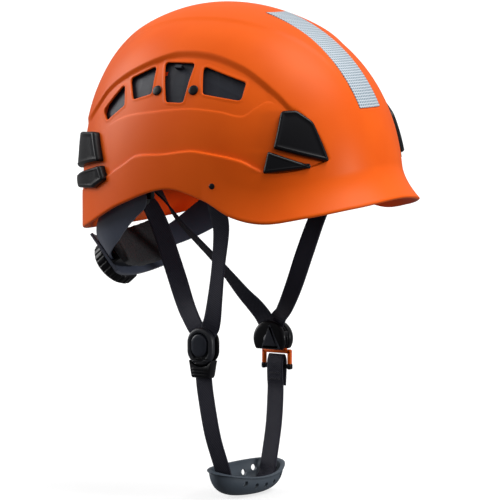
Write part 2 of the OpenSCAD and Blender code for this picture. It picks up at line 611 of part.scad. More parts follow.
// Chin cup: a soft boat with a turned-out lip
cup_x = 4;
cup_bottom = -227;
cup_t = 2.6;
cup_cols = 32;
cup_rows = 6;
function cup_rim(a) = -206 - 3.5 * cos(a) - 3.5 * cos(a) * cos(a);
function cup_point(a, v, inset) =
    let (k = pow(cos(90 * v), 0.6))
    [cup_x + (cup_w / 2 - inset) * cos(a) * k, (cup_len / 2 - inset) * sin(a) * k,
     cup_rim(a) + (cup_bottom + inset - cup_rim(a)) * sin(90 * v)];
module chin_cup() {
  n = cup_rows * cup_cols;
  rings = [for (inset = [0, cup_t]) for (i = [0:cup_rows - 1]) for (j = [0:cup_cols - 1])
    cup_point(j * 360 / cup_cols, i / cup_rows, inset)];
  last = (cup_rows - 1) * cup_cols;
  color("#363f48") difference() {
    polyhedron(concat(rings, [[cup_x, 0, cup_bottom], [cup_x, 0, cup_bottom + cup_t]]), concat(
      [for (i = [0:cup_rows - 2]) for (j = [0:cup_cols - 1])
        let (k = (j + 1) % cup_cols, a = i * cup_cols, b = a + cup_cols, c = n + a, d = n + b)
        each [[a + j, a + k, b + j], [a + k, b + k, b + j], [c + j, d + j, c + k], [c + k, d + j, d + k]]],
      [for (j = [0:cup_cols - 1]) let (k = (j + 1) % cup_cols)
        each [[j, n + j, k], [k, n + j, n + k],
              [last + j, last + k, 2 * n], [n + last + j, 2 * n + 1, n + last + k]]]));
    // Drain and breathing holes along the front face, and two pairs in the wall behind
    for (y = [-26, -13, 0, 13, 26])
      translate([cup_x, y, abs(y) > 20 ? -215.5 : -219]) rotate([0, 90, 0]) cylinder(r = 2.3, h = 40);
    for (y = [-33, -19, 19, 33])
      translate([cup_x, y, abs(y) > 20 ? -211.5 : -214]) rotate([0, -90, 0]) cylinder(r = 2.5, h = 40);
  }
}

shell();
reflective_strip();
vent_shutter_right();
vent_shutter_left();
shutter_pegs();
lamp_clip_front_right();
lamp_clip_front_left();
lamp_clip_rear_right();
lamp_clip_rear_left();
harness_clips();
crown_strap_lower();
crown_strap_upper();
crown_pad();
headband();
brow_pad();
rear_yoke();
nape_housing();
nape_cover();
nape_pad();
arm_right();
arm_left();
pinion();
knob();
knob_screw();
strap_rivets();
front_strap_right();
front_strap_left();
rear_strap_right();
rear_strap_left();
divider_front();
divider_back();
divider_button();
divider_spring();
divider_swivel();
junction_plate();
junction_rivet();
buckle_receiver();
release_button();
release_spring();
buckle_tongue();
tongue_tips();
lower_strap_right();
lower_strap_left();
chin_cup();
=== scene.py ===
import math
import bmesh
import bpy
import numpy as np
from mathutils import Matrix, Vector


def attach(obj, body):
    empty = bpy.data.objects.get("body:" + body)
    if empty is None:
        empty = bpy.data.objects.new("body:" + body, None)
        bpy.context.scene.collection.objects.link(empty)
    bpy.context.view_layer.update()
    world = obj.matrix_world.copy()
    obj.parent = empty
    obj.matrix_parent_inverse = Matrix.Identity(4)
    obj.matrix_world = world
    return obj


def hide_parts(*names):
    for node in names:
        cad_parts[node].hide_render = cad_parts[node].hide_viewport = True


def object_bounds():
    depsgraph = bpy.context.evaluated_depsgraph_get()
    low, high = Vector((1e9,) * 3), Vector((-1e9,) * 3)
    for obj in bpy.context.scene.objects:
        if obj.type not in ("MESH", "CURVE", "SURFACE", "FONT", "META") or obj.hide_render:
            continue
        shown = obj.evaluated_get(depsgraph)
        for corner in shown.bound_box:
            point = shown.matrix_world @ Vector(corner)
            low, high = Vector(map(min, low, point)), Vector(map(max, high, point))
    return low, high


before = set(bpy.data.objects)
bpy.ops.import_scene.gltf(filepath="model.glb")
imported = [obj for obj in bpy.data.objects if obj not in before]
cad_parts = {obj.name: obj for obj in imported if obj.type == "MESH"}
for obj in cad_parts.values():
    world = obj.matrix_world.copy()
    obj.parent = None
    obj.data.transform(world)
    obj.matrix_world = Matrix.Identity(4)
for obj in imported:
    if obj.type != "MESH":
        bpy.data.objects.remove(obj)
cad_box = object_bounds()
MM = 0.001
ROOT = "shell_body"

# ---- Camera, lights and floor ----
VIEW_TURN = math.radians(32)
VIEW_RISE = math.radians(5.5)
VIEW_DISTANCE = 3.5
FOCAL_LENGTH = 316.4
AIM_RIGHT = 0.00635
AIM_DOWN = 0.0317
SENSOR_WIDTH = 36
SUN_ANGLE = 40
# Colours of the sky, low down and overhead, and how high the second one starts
LOW_SKY = (0.16, 0.16, 0.165, 1)
HIGH_SKY = (0.62, 0.62, 0.62, 1)
HIGH_SKY_FROM = 0.9
FLOOR_SIZE = 80
FLOOR_GAP = 0.0005
FLOOR_GLOW = 0.74
BACKDROP_RADIUS = 14
BACKDROP_GLOW = 1.1


def set_camera():
    towards = Vector((math.sin(VIEW_TURN) * math.cos(VIEW_RISE),
                      -math.cos(VIEW_TURN) * math.cos(VIEW_RISE), math.sin(VIEW_RISE)))
    right = Vector((math.cos(VIEW_TURN), math.sin(VIEW_TURN), 0))
    up = towards.cross(right)
    camera = bpy.data.objects.new("camera", bpy.data.cameras.new("camera"))
    camera.data.lens = FOCAL_LENGTH
    camera.data.sensor_width = SENSOR_WIDTH
    camera.data.clip_end = 100
    camera.location = right * AIM_RIGHT - up * AIM_DOWN + towards * VIEW_DISTANCE
    camera.rotation_euler = towards.to_track_quat("Z", "Y").to_euler()
    bpy.context.collection.objects.link(camera)
    bpy.context.scene.camera = camera


def add_light(name, kind, energy, towards):
    light = bpy.data.objects.new(name, bpy.data.lights.new(name, kind))
    light.data.energy = energy
    light.rotation_euler = Vector(towards).to_track_quat("Z", "Y").to_euler()
    bpy.context.collection.objects.link(light)
    return light


def area_light(name, place, aim, size, power, color=(1, 1, 1)):
    light = add_light(name, "AREA", power, Vector(place) - Vector(aim))
    light.location = place
    light.data.size = size
    light.data.color = color


def soft_sun(name, towards, energy):
    add_light(name, "SUN", energy, towards).data.angle = math.radians(SUN_ANGLE)


def stage_surface(name, color, glow):
    """The mesh just added becomes a pale surface that glows for the camera and lights nothing."""
    piece = bpy.context.object
    piece.name = name
    surface, shader = new_material(name, color, 0.9)
    shader.inputs["Emission Color"].default_value = (1, 1, 1, 1)
    shader.inputs["Emission Strength"].default_value = glow
    piece.data.materials.append(surface)
    piece.visible_diffuse = False
    piece.visible_glossy = False
    return piece


def set_studio():
    world = bpy.data.worlds.new("studio")
    bpy.context.scene.world = world
    world.use_nodes = True
    background = world.node_tree.nodes["Background"]
    background.inputs["Strength"].default_value = 1.0
    # Light ceiling and darker surroundings below, by height only
    place = node(world, "ShaderNodeTexCoord")
    split = node(world, "ShaderNodeSeparateXYZ")
    ramp = node(world, "ShaderNodeValToRGB")
    ramp.color_ramp.elements[0].color = LOW_SKY
    ramp.color_ramp.elements[1].color = HIGH_SKY
    ramp.color_ramp.elements[1].position = HIGH_SKY_FROM
    join(world, place, "Generated", split, "Vector")
    join(world, split, "Z", ramp, "Fac")
    join(world, ramp, "Color", background, "Color")
    soft_sun("key", (0.58, 0.20, 1.25), 2.35)
    soft_sun("back", (-1.0, -0.22, 0.40), 2.1)
    area_light("front", (2.9, 0.5, 0.2), (0, 0, 0), 0.5, 34)
    # A small glow on the inside of the left wall, seen through the right arch
    area_light("inside", (-0.02, -0.02, 0.03), (-0.03, 0.09, 0.02), 0.04, 0.05, (1, 0.26, 0.12))
    bpy.ops.mesh.primitive_plane_add(size=FLOOR_SIZE, location=(0, 0, cad_box[0][2] - FLOOR_GAP))
    floor = stage_surface("floor", (0.32, 0.32, 0.32), FLOOR_GLOW)
    bpy.ops.mesh.primitive_cylinder_add(radius=BACKDROP_RADIUS, depth=BACKDROP_RADIUS, vertices=64,
                                        end_fill_type="TRIFAN", location=(0, 0, 0))
    backdrop = stage_surface("backdrop", (0, 0, 0), BACKDROP_GLOW)
    backdrop.visible_shadow = False


# ---- Materials ----
GRAIN_BUMP = 0.0002
MOTTLE_SCALE = 24


def new_material(name, color, roughness):
    material = bpy.data.materials.new(name)
    material.use_nodes = True
    shader = material.node_tree.nodes["Principled BSDF"]
    shader.inputs["Base Color"].default_value = (*color, 1)
    shader.inputs["Roughness"].default_value = roughness
    return material, shader


def node(material, kind, **values):
    made = material.node_tree.nodes.new(kind)
    for key, value in values.items():
        if hasattr(made, key):
            setattr(made, key, value)
        else:
            made.inputs[key.replace("_", " ")].default_value = value
    return made


def join(material, source, output, target, socket):
    material.node_tree.links.new(source.outputs[output], target.inputs[socket])


def grain(material, shader, scale, depth):
    """Fine moulded grain, as bump in object space."""
    place = node(material, "ShaderNodeTexCoord")
    noise = node(material, "ShaderNodeTexNoise", Scale=scale, Detail=3.0)
    join(material, place, "Object", noise, "Vector")
    bump_from(material, noise, "Fac", shader, depth, GRAIN_BUMP)
    return place


def ramp_between(material, source, output, shader, colors, stops=(0, 1)):
    """Base colour that runs between two colours with a pattern."""
    ramp = node(material, "ShaderNodeValToRGB")
    for element, color, stop in zip(ramp.color_ramp.elements, colors, stops):
        element.position = stop
        element.color = (*color, 1)
    join(material, source, output, ramp, "Fac")
    join(material, ramp, "Color", shader, "Base Color")


def bump_from(material, source, output, shader, strength, distance):
    bump = node(material, "ShaderNodeBump", Strength=strength, Distance=distance)
    join(material, source, output, bump, "Height")
    join(material, bump, "Normal", shader, "Normal")


def mottle(material, shader, place, dark, light):
    """A faint change of colour over the surface."""
    noise = node(material, "ShaderNodeTexNoise", Scale=MOTTLE_SCALE, Detail=2.0)
    join(material, place, "Object", noise, "Vector")
    ramp_between(material, noise, "Fac", shader, (dark, light), (0.35, 0.65))


def moulded(name, dark, light, roughness, grain_scale=1500, grain_depth=0.08, specular=0.5, tint=(1, 1, 1)):
    material, shader = new_material(name, dark, roughness)
    shader.inputs["Specular IOR Level"].default_value = specular
    shader.inputs["Specular Tint"].default_value = (*tint, 1)
    place = grain(material, shader, grain_scale, grain_depth)
    mottle(material, shader, place, dark, light)
    return material


def webbing_material():
    """Polyester webbing: ribs along the strap crossed by fine picks, on UVs in millimetres."""
    material, shader = new_material("webbing", (0.02, 0.02, 0.03), 0.72)
    shader.inputs["Sheen Weight"].default_value = 0.12
    shader.inputs["Sheen Roughness"].default_value = 0.4
    shader.inputs["Specular IOR Level"].default_value = 0.3
    place = node(material, "ShaderNodeTexCoord")
    ribs = node(material, "ShaderNodeTexWave", Scale=0.42, Distortion=0.0)
    ribs.bands_direction = "X"
    picks = node(material, "ShaderNodeTexWave", Scale=0.36, Distortion=0.0)
    picks.bands_direction = "DIAGONAL"
    product = node(material, "ShaderNodeMath", operation="MULTIPLY")
    for socket, wave in enumerate((ribs, picks)):
        join(material, place, "UV", wave, "Vector")
        join(material, wave, "Fac", product, socket)
    ramp_between(material, product, "Value", shader, ((0.012, 0.012, 0.022), (0.048, 0.048, 0.074)))
    bump_from(material, product, "Value", shader, 0.55, 0.0003)
    return material


def knit_material():
    """Knitted cover of the foam pads."""
    material, shader = new_material("pad_fabric", (0.02, 0.02, 0.024), 0.85)
    shader.inputs["Sheen Weight"].default_value = 0.1
    place = node(material, "ShaderNodeTexCoord")
    cells = node(material, "ShaderNodeTexVoronoi", Scale=700.0)
    join(material, place, "Object", cells, "Vector")
    ramp_between(material, cells, "Distance", shader, ((0.035, 0.035, 0.04), (0.010, 0.010, 0.012)))
    bump_from(material, cells, "Distance", shader, 0.6, 0.0004)
    return material


def reflective_material():
    """Silver film with a sealed honeycomb, on UVs in millimetres."""
    material, shader = new_material("reflective_film", (0.6, 0.64, 0.68), 0.35)
    shader.inputs["Metallic"].default_value = 0.25
    place = node(material, "ShaderNodeTexCoord")
    cells = node(material, "ShaderNodeTexVoronoi", feature="DISTANCE_TO_EDGE", Scale=0.42, Randomness=0.0)
    join(material, place, "UV", cells, "Vector")
    ramp_between(material, cells, "Distance", shader, ((0.74, 0.80, 0.85), (0.22, 0.30, 0.37)), (0.07, 0.20))
    bump_from(material, cells, "Distance", shader, 0.3, 0.0002)
    return material


def steel_material():
    material, shader = new_material("zinc_steel", (0.5, 0.5, 0.52), 0.35)
    shader.inputs["Metallic"].default_value = 1.0
    grain(material, shader, 900, 0.1)
    return material


ORANGE = moulded("orange_abs", (0.80, 0.100, 0.003), (0.84, 0.112, 0.004), 0.42, 2200, 0.05, 0.22,
                (1, 0.76, 0.56))
BLACK = moulded("black_nylon", (0.002, 0.002, 0.003), (0.004, 0.004, 0.006), 0.30, 1800, 0.10, 0.22)
GREY = moulded("grey_nylon", (0.062, 0.073, 0.105), (0.078, 0.090, 0.128), 0.30, 1600, 0.08)
GRAPHITE = moulded("graphite_nylon", (0.0125, 0.0140, 0.0195), (0.0155, 0.0172, 0.0235), 0.46, 1800, 0.06,
                  0.42)
SLATE = moulded("slate_nylon", (0.016, 0.019, 0.028), (0.024, 0.027, 0.038), 0.34, 1600, 0.08, 0.3)
PANEL = moulded("shutter_plastic", (0.010, 0.012, 0.020), (0.016, 0.018, 0.028), 0.5, 1400, 0.12, 0.3)
CUP = moulded("cup_rubber", (0.042, 0.058, 0.078), (0.060, 0.078, 0.100), 0.6, 1100, 0.2)
WEBBING = webbing_material()
FABRIC = knit_material()
FILM = reflective_material()
STEEL = steel_material()
THREAD = moulded("thread", (0.03, 0.03, 0.04), (0.05, 0.05, 0.06), 0.7, 3000, 0.4)

# ---- The shell's surface, in millimetres and degrees, as the CAD has it ----
SHELL_HALF = (133.0, 104.0)
CROWN_H = 165.5
WALL = 3.0
# Powers that shape the outline seen from above and the profile up to the crown
PLAN_POWER = 2.15
PROFILE_POWER = 2.7
# The brim ends at this angle from the front, and fades over this height
BRIM_REACH = 14.0
BRIM_END = 75
BRIM_FALL = 26
BRIM_POWER = 1.8
# The crown leans back
CROWN_LEAN = 12
LEAN_POWER = 2.2
RIM_KNOTS = [(0, 17), (20, 12), (36, 5.3), (50, 0.5), (62, 5), (74, 17), (93, 25), (118, 11.3),
             (142, -7.6), (162, -15.5), (180, -17)]


def smooth(knots, x):
    """Smooth curve through knots of (x, y), level at both ends."""
    k = np.array(knots, float)
    x = np.asarray(x, float)
    slope = np.zeros(len(k))
    slope[1:-1] = (k[2:, 1] - k[:-2, 1]) / (k[2:, 0] - k[:-2, 0])
    i = np.clip(np.searchsorted(k[:, 0], x) - 1, 0, len(k) - 2)
    h = k[i + 1, 0] - k[i, 0]
    t = (x - k[i, 0]) / h
    return ((2 * t**3 - 3 * t**2 + 1) * k[i, 1] + (t**3 - 2 * t**2 + t) * h * slope[i]
            + (3 * t**2 - 2 * t**3) * k[i + 1, 1] + (t**3 - t**2) * h * slope[i + 1])


def step(x):
    x = np.clip(x, 0, 1)
    return x * x * (3 - 2 * x)


def from_front(a):
    return np.abs((np.asarray(a, float) + 540) % 360 - 180)


def rim_z(a):
    return smooth(RIM_KNOTS, from_front(a))


def plan_r(a):
    a = np.radians(a)
    return ((np.abs(np.cos(a)) / SHELL_HALF[0])**PLAN_POWER
            + (np.abs(np.sin(a)) / SHELL_HALF[1])**PLAN_POWER)**(-1 / PLAN_POWER)


def dome(a, z, inset=0.0):
    a, z = np.broadcast_arrays(np.asarray(a, float), np.asarray(z, float))
    off = from_front(a)
    u = np.clip(z / (CROWN_H - inset), 0, 1)
    turn = np.radians(np.minimum(off, BRIM_END) * (90 / BRIM_END))
    fade = np.maximum(0, 1 - (z - rim_z(a)) / BRIM_FALL)**BRIM_POWER
    brim = np.where(off > BRIM_END, 0, BRIM_REACH * np.cos(turn) * fade)
    r = (plan_r(a) - inset) * np.sqrt(1 - u**PROFILE_POWER) + brim
    x = r * np.cos(np.radians(a)) - CROWN_LEAN * np.clip(z / CROWN_H, 0, None)**LEAN_POWER
    return np.stack([x, r * np.sin(np.radians(a)), z], -1)


def normal(a, z, inset=0.0):
    n = np.cross(dome(a + 1, z, inset) - dome(a - 1, z, inset),
                 dome(a, z + 0.5, inset) - dome(a, z - 0.5, inset))
    length = np.linalg.norm(n, axis=-1, keepdims=True)
    return np.where(length > 1e-9, n / np.maximum(length, 1e-9), (0.0, 0.0, 1.0))


# Moulded relief: a sunken side panel with a vent field, a proud skirt, a crest band
LEDGE = [(0, 52), (20, 51), (25.6, 48), (32, 43), (40.7, 39.3), (49, 39), (58.4, 47.7), (75.8, 53.5),
         (81.6, 54), (94.9, 50.6), (109.7, 48), (117.6, 39.9), (128.5, 29.7), (142, 20), (160, 14), (180, 12)]
CREASE = [(0, 66), (30, 68), (38, 80), (44, 93), (50.8, 88.5), (56.9, 82), (67, 85), (82.4, 86.7),
          (104, 83), (120.9, 77.5), (139, 62), (155, 50), (180, 46)]
FIELD_TOP = [(0, 83), (26, 83), (33, 83.5), (36.5, 86), (40.7, 96), (47.2, 108), (54.7, 117.5), (70.7, 126),
             (92.2, 127.5), (103, 124.5), (117, 116.5), (129, 106.5), (137, 96), (142.5, 84), (150, 73),
             (180, 66)]
FIELD_FILLET = [(0, 8.5), (36, 8.5), (60, 5.8), (90, 5), (180, 5)]
# Front end of the side panel, as angle against height; it runs along the front lamp clip
FIELD_FRONT = [(0, 24.8), (46, 24.8), (60, 26.4), (72, 28.6), (80, 31), (90, 34), (165, 34)]
SKIRT = [(0, 2.9), (24, 2.9), (45, 3.6), (60, 3.2), (80, 2.5), (110, 2.3), (180, 2.3)]
# Widths over which the panel's front end, the ledge, the crease and the crest rise
FRONT_RUN = 2.2
LEDGE_RUN = 1.3
CREASE_RUN = 1.2
CREST_RUN = 5
PANEL_LIFT = 0.6
RAISED = 2.9
# The crest rises from one height over another; so does the drop that flattens the crown
CREST_LIFT = 1.0
CREST_FROM, CREST_OVER = 100, 40
CROWN_DROP = 1.2
DROP_FROM, DROP_OVER = 138, 22
# How far the whole moulding sits below the smooth dome of the CAD
SETBACK = 2.2
STRIP_HALF = 15.0
STRIP_Z = (86.0, 158.0)


def crest_half(x):
    """Half width of the crest band along the helmet."""
    return smooth([(-140, 46), (-58, 45), (5, 43), (41, 38), (73, 28), (100, 20), (150, 16)], x)


def relief(a, z):
    """Height of the moulded surface above the plain dome."""
    off = from_front(a)
    inside = step((off - smooth(FIELD_FRONT, z)) / FRONT_RUN) * step((168 - off) / 30)
    s1 = step((z - smooth(LEDGE, off)) / LEDGE_RUN + 0.5)
    s2 = step((z - smooth(CREASE, off)) / CREASE_RUN + 0.5) * step((off - 42) / 4) * step((134 - off) / 14)
    s3 = step((z - smooth(FIELD_TOP, off)) / smooth(FIELD_FILLET, off) + 0.5)
    skirt = smooth(SKIRT, off)
    sunk = PANEL_LIFT * (1 - 0.8 * s2)
    side = skirt * (1 - s1) + sunk * s1 * (1 - s3) + RAISED * s3
    height = skirt * (1 - inside) * (1 - s3) + RAISED * (1 - inside) * s3 + side * inside
    p = dome(a, z)
    crest = step((crest_half(p[..., 0]) + CREST_RUN / 2 - np.abs(p[..., 1])) / CREST_RUN)
    crest = crest * step((z - CREST_FROM) / CREST_OVER)
    return height + CREST_LIFT * crest - SETBACK - CROWN_DROP * step((z - DROP_FROM) / DROP_OVER)


def on_shell(a, z, lift=0.0):
    return dome(a, z) + normal(a, z) * np.asarray(lift, float)[..., None]


def side_angle(x, z):
    """The angle on the right side at which the dome has this x, found by halving."""
    low, high = np.full(np.shape(x), -179.0), np.full(np.shape(x), -1.0)
    for _ in range(40):
        middle = (low + high) / 2
        rear = dome(middle, z)[..., 0] < x
        low, high = np.where(rear, middle, low), np.where(rear, high, middle)
    return (low + high) / 2


# ---- Mesh helpers ----
def make(name, points, faces, material, body, slot, uv=None):
    mesh = bpy.data.meshes.new(name)
    mesh.from_pydata([tuple(p) for p in np.asarray(points, float) * MM], [], faces)
    if uv is not None:
        layer = mesh.uv_layers.new(name="UVMap")
        index = np.empty(len(mesh.loops), int)
        mesh.loops.foreach_get("vertex_index", index)
        layer.data.foreach_set("uv", np.asarray(uv, float)[index].ravel())
    mesh.validate()
    mesh.polygons.foreach_set("use_smooth", [True] * len(mesh.polygons))
    mesh.materials.append(material)
    piece = bpy.data.objects.new(name, mesh)
    bpy.context.collection.objects.link(piece)
    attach(piece, body)
    return piece


def fix_normals(piece, sharp=None, weld=1e-7):
    """Welds points, turns faces outwards and marks the edges sharper than an angle."""
    work = bmesh.new()
    work.from_mesh(piece.data)
    bmesh.ops.remove_doubles(work, verts=work.verts, dist=weld)
    bmesh.ops.recalc_face_normals(work, faces=work.faces)
    if sharp:
        for edge in work.edges:
            edge.smooth = len(edge.link_faces) == 2 and edge.calc_face_angle(0) < math.radians(sharp)
    work.to_mesh(piece.data)
    work.free()
    return piece


def gather(parts):
    """One array of points and one list of faces, from a list of both."""
    points, faces, start = [], [], 0
    for p, f in parts:
        points.append(p)
        faces += [tuple(i + start for i in face) for face in f]
        start += len(p)
    return np.vstack(points), faces


def merge(name, parts, material, body, slot, sharp=60):
    return fix_normals(make(name, *gather(parts), material, body, slot), sharp)


def loft(rings, closed_start=True, closed_end=True):
    """Points and faces of a skin over rings with the same number of points."""
    n, last = len(rings[0]), (len(rings) - 1) * len(rings[0])
    faces = []
    for a in range(0, last, n):
        b = a + n
        faces += [(a + j, a + (j + 1) % n, b + (j + 1) % n, b + j) for j in range(n)]
    if closed_start:
        faces.append(tuple(range(n - 1, -1, -1)))
    if closed_end:
        faces.append(tuple(range(last, last + n)))
    return np.concatenate(rings), faces


# A pitch so long that the straight sides stay unfilled
UNFILLED = 100


def rounded(corners, radius, arc_steps=6, pitch=1.5):
    """A closed outline with round corners, evenly filled between them."""
    corners = [np.array(c, float) for c in corners]
    n = len(corners)
    radii = radius if isinstance(radius, (list, tuple)) else [radius] * n
    arcs = []
    for i, c in enumerate(corners):
        before, after = corners[i - 1] - c, corners[(i + 1) % n] - c
        long_before, long_after = np.linalg.norm(before), np.linalg.norm(after)
        u, v = before / long_before, after / long_after
        half = math.acos(np.clip(np.dot(u, v), -1, 1)) / 2
        reach = min(radii[i] / math.tan(half), 0.46 * min(long_before, long_after))
        arcs.append([(1 - t)**2 * (c + u * reach) + 2 * t * (1 - t) * c + t**2 * (c + v * reach)
                     for t in np.linspace(0, 1, arc_steps)])
    path = []
    for i, arc in enumerate(arcs):
        gap = arcs[(i + 1) % n][0] - arc[-1]
        fill = int(np.linalg.norm(gap) // pitch)
        path += arc + [arc[-1] + gap * (t + 1) / (fill + 1) for t in range(fill)]
    return np.array(path)


def outward(path):
    """Unit normals of a closed outline, pointing out of it."""
    t = np.roll(path, -1, 0) - np.roll(path, 1, 0)
    t /= np.maximum(np.linalg.norm(t, axis=1, keepdims=True), 1e-9)
    n = np.stack([t[:, 1], -t[:, 0]], 1)
    nxt = np.roll(path, -1, 0)
    area = np.sum(path[:, 0] * nxt[:, 1] - nxt[:, 0] * path[:, 1])
    return n if area > 0 else -n


def polygon_distance(points, corners):
    """Signed distance to a polygon, positive outside."""
    x, y = points[..., 0], points[..., 1]
    best = np.full(x.shape, 1e9)
    inside = np.zeros(x.shape, bool)
    for i, (bx, by) in enumerate(corners):
        ax, ay = corners[i - 1]
        dx, dy = bx - ax, by - ay
        t = np.clip(((x - ax) * dx + (y - ay) * dy) / (dx * dx + dy * dy), 0, 1)
        best = np.minimum(best, np.hypot(x - ax - t * dx, y - ay - t * dy))
        crosses = (ay > y) != (by > y)
        inside ^= crosses & (x < ax + (y - ay) * dx / (dy if dy else 1e-9))
    return np.where(inside, -best, best)


# ---- Shell ----
VENTS = [[(-83.6, 81), (-76.2, 73.6), (-56.5, 87), (-61, 104)],
         [(-55.9, 108), (-47.8, 91.8), (-28.8, 97.2), (-30.8, 119)],
         [(-23.6, 122), (-13.5, 91.2), (3, 91.2), (5, 122)],
         [(12.8, 120.3), (18.6, 98.5), (51, 93.8), (51.3, 108)]]
VENT_ROUND = 3.0
SHELL_COLS = 720
CROWN_ROWS = 62
INNER_ROWS = 60
# Half heights of the bands of rows at the ledge and the crease, and at the field's top
FINE_BAND = 0.7
FIELD_BAND = 3.6


def outer_heights(a):
    """Heights of the rows, crowded where the relief steps."""
    off = from_front(a)
    rim, ledge, crease, top = rim_z(a), smooth(LEDGE, off), smooth(CREASE, off), smooth(FIELD_TOP, off)
    rows = []
    bands = ((rim, ledge - FINE_BAND, 26), (ledge - FINE_BAND, ledge + FINE_BAND, 5),
             (ledge + FINE_BAND, crease - FINE_BAND, 26), (crease - FINE_BAND, crease + FINE_BAND, 3),
             (crease + FINE_BAND, top - FIELD_BAND, 32), (top - FIELD_BAND, top + FIELD_BAND, 12))
    for low, high, count in bands:
        rows += [low + (high - low) * i / count for i in range(count)]
    low = top + FIELD_BAND
    return rows + [low + (CROWN_H - low) * math.sin(math.pi / 2 * i / CROWN_ROWS) for i in range(CROWN_ROWS)]


def inner_heights(a):
    rim = rim_z(a)
    rise = CROWN_H - WALL - rim
    return [rim + rise * math.sin(math.pi / 2 * i / INNER_ROWS) for i in range(INNER_ROWS)]


def vent_distance(points):
    distance = np.full(points.shape[:-1], 1e9)
    for corners in VENTS:
        outline = rounded(corners, VENT_ROUND, pitch=UNFILLED)
        distance = np.minimum(distance, polygon_distance(points[..., [0, 2]], outline))
    return np.where(points[..., 2] > 60, distance, 1e9)


def open_grid(grid, vents_margin, flip):
    """Faces of a grid of rows that wraps round, without those over the vents."""
    rows, cols = grid.shape[:2]
    near = vent_distance(grid) < vents_margin
    faces = []
    for i in range(rows - 1):
        dead = near[i] | near[i + 1]
        for j in range(cols):
            k = (j + 1) % cols
            if dead[j] or dead[k]:
                continue
            face = (i * cols + j, i * cols + k, (i + 1) * cols + k, (i + 1) * cols + j)
            faces.append(face[::-1] if flip else face)
    return faces


def vent_lip(corners, left):
    """The rolled edge of a vent and the wall inside it."""
    path = rounded(corners, VENT_ROUND, pitch=1.2)
    out = outward(path)
    rings = []
    lip = ((3.6, -0.25), (2.9, -0.03), (2.1, 0.06), (1.4, 0.16), (0.8, 0.28), (0.4, 0.22), (0.1, 0.0),
           (0.0, -0.4))
    for reach, lift in lip:
        spot = path + out * reach
        a = side_angle(spot[:, 0], spot[:, 1])
        rings.append(on_shell(a, spot[:, 1], relief(a, spot[:, 1]) + lift))
    for reach, lift in ((0.0, -2.6), (0.0, -WALL), (1.8, -WALL - 0.15), (3.4, -WALL + 0.15)):
        spot = path + out * reach
        rings.append(on_shell(side_angle(spot[:, 0], spot[:, 1]), spot[:, 1], np.full(len(path), lift)))
    points, faces = loft(rings, False, False)
    if left:
        points = points * (1, -1, 1)
    return points, faces


def strip_angle(y, z):
    radius = SHELL_HALF[0] * np.sqrt(1 - np.clip(z / CROWN_H, 0, 1)**PROFILE_POWER)
    return np.degrees(np.arcsin(np.clip(y / radius, -1, 1)))


def strip_distance(points):
    """How far a point is outside the pocket of the reflective strip."""
    side = np.abs(points[..., 1]) - STRIP_HALF - 0.6
    end = np.maximum(STRIP_Z[0] - 1.2 - points[..., 2], points[..., 2] - STRIP_Z[1] - 0.4)
    return np.where(points[..., 0] > 0, np.maximum(side, end), 1e9)


def strip_pocket():
    """Rolled edge and walls of the pocket that holds the reflective strip."""
    low, high = STRIP_Z[0] - 0.9, STRIP_Z[1] + 0.25
    half = STRIP_HALF + 0.5
    path = rounded([(-half, low), (half, low), (half, high), (-half, high)], 1.2, pitch=1.5)
    out = outward(path)
    rings = []
    for reach, lift in ((2.2, -0.15), (1.4, 0.1), (0.7, 0.05), (0.25, -0.25), (0.0, -0.8)):
        a = strip_angle(path[:, 0], path[:, 1])
        flat = np.sqrt(1 - normal(a, path[:, 1])[:, 2]**2)
        y = path[:, 0] + out[:, 0] * reach
        z = path[:, 1] + out[:, 1] * reach * flat
        a = strip_angle(y, z)
        rings.append(on_shell(a, z, relief(a, z) + lift))
    a = strip_angle(path[:, 0], path[:, 1])
    rings.append(on_shell(a, path[:, 1], np.full(len(path), 0.05)))
    return loft(rings, False, False)


def build_shell():
    a = np.arange(SHELL_COLS) * 360 / SHELL_COLS - 180
    outer = np.stack([on_shell(a, z, relief(a, z)) for z in outer_heights(a)])
    base = np.stack([dome(a, z) for z in outer_heights(a)])
    sunk = np.clip(-strip_distance(base) / 0.8, 0, 1)[..., None]
    outer = outer * (1 - sunk) + base * sunk
    inner = np.stack([dome(a, z, WALL) for z in inner_heights(a)])
    parts = [(outer.reshape(-1, 3), open_grid(outer, 0.9, False)),
             (inner.reshape(-1, 3), open_grid(inner, 1.0, True))]
    # Crown, closed by a fan outside and inside
    fan = [(j, (j + 1) % SHELL_COLS, SHELL_COLS) for j in range(SHELL_COLS)]
    pole = [[-CROWN_LEAN, 0, outer[-1][:, 2].max() + 0.02]]
    parts.append((np.vstack([outer[-1], pole]), fan))
    pole = [[-CROWN_LEAN, 0, CROWN_H - WALL]]
    parts.append((np.vstack([inner[-1], pole]), [(b, a, c) for a, b, c in fan]))
    # Rounded rim between the two skins
    middle, half = (outer[0] + inner[0]) / 2, (outer[0] - inner[0]) / 2
    rim = [middle + half * math.cos(t) - np.array([0, 0, 1.6]) * math.sin(t)
           for t in np.linspace(0, math.pi, 9)]
    parts.append(loft(rim, False, False))
    for corners in VENTS:
        for left in (False, True):
            parts.append(vent_lip(corners, left))
    parts.append(strip_pocket())
    shell = make("shell_skin", *gather(parts), ORANGE, ROOT, "orange_shell")
    fix_normals(shell, weld=2e-5)
    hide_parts("shell")
    # The inside glow falls on the shell alone
    lit = bpy.data.collections.new("shell_alone")
    lit.objects.link(shell)
    bpy.data.objects["inside"].light_linking.receiver_collection = lit


def lathe_on_shell(a, z, outline, count=28):
    """A round part square to the shell, from (radius, lift) pairs."""
    base, up = dome(a, z), normal(a, z)
    side = np.cross((0, 0, 1.0), up)
    side /= np.linalg.norm(side)
    other = np.cross(up, side)
    t = np.arange(count) * 2 * math.pi / count
    ring = np.cos(t)[:, None] * side + np.sin(t)[:, None] * other
    return loft([base + ring * r + up * h for r, h in outline])


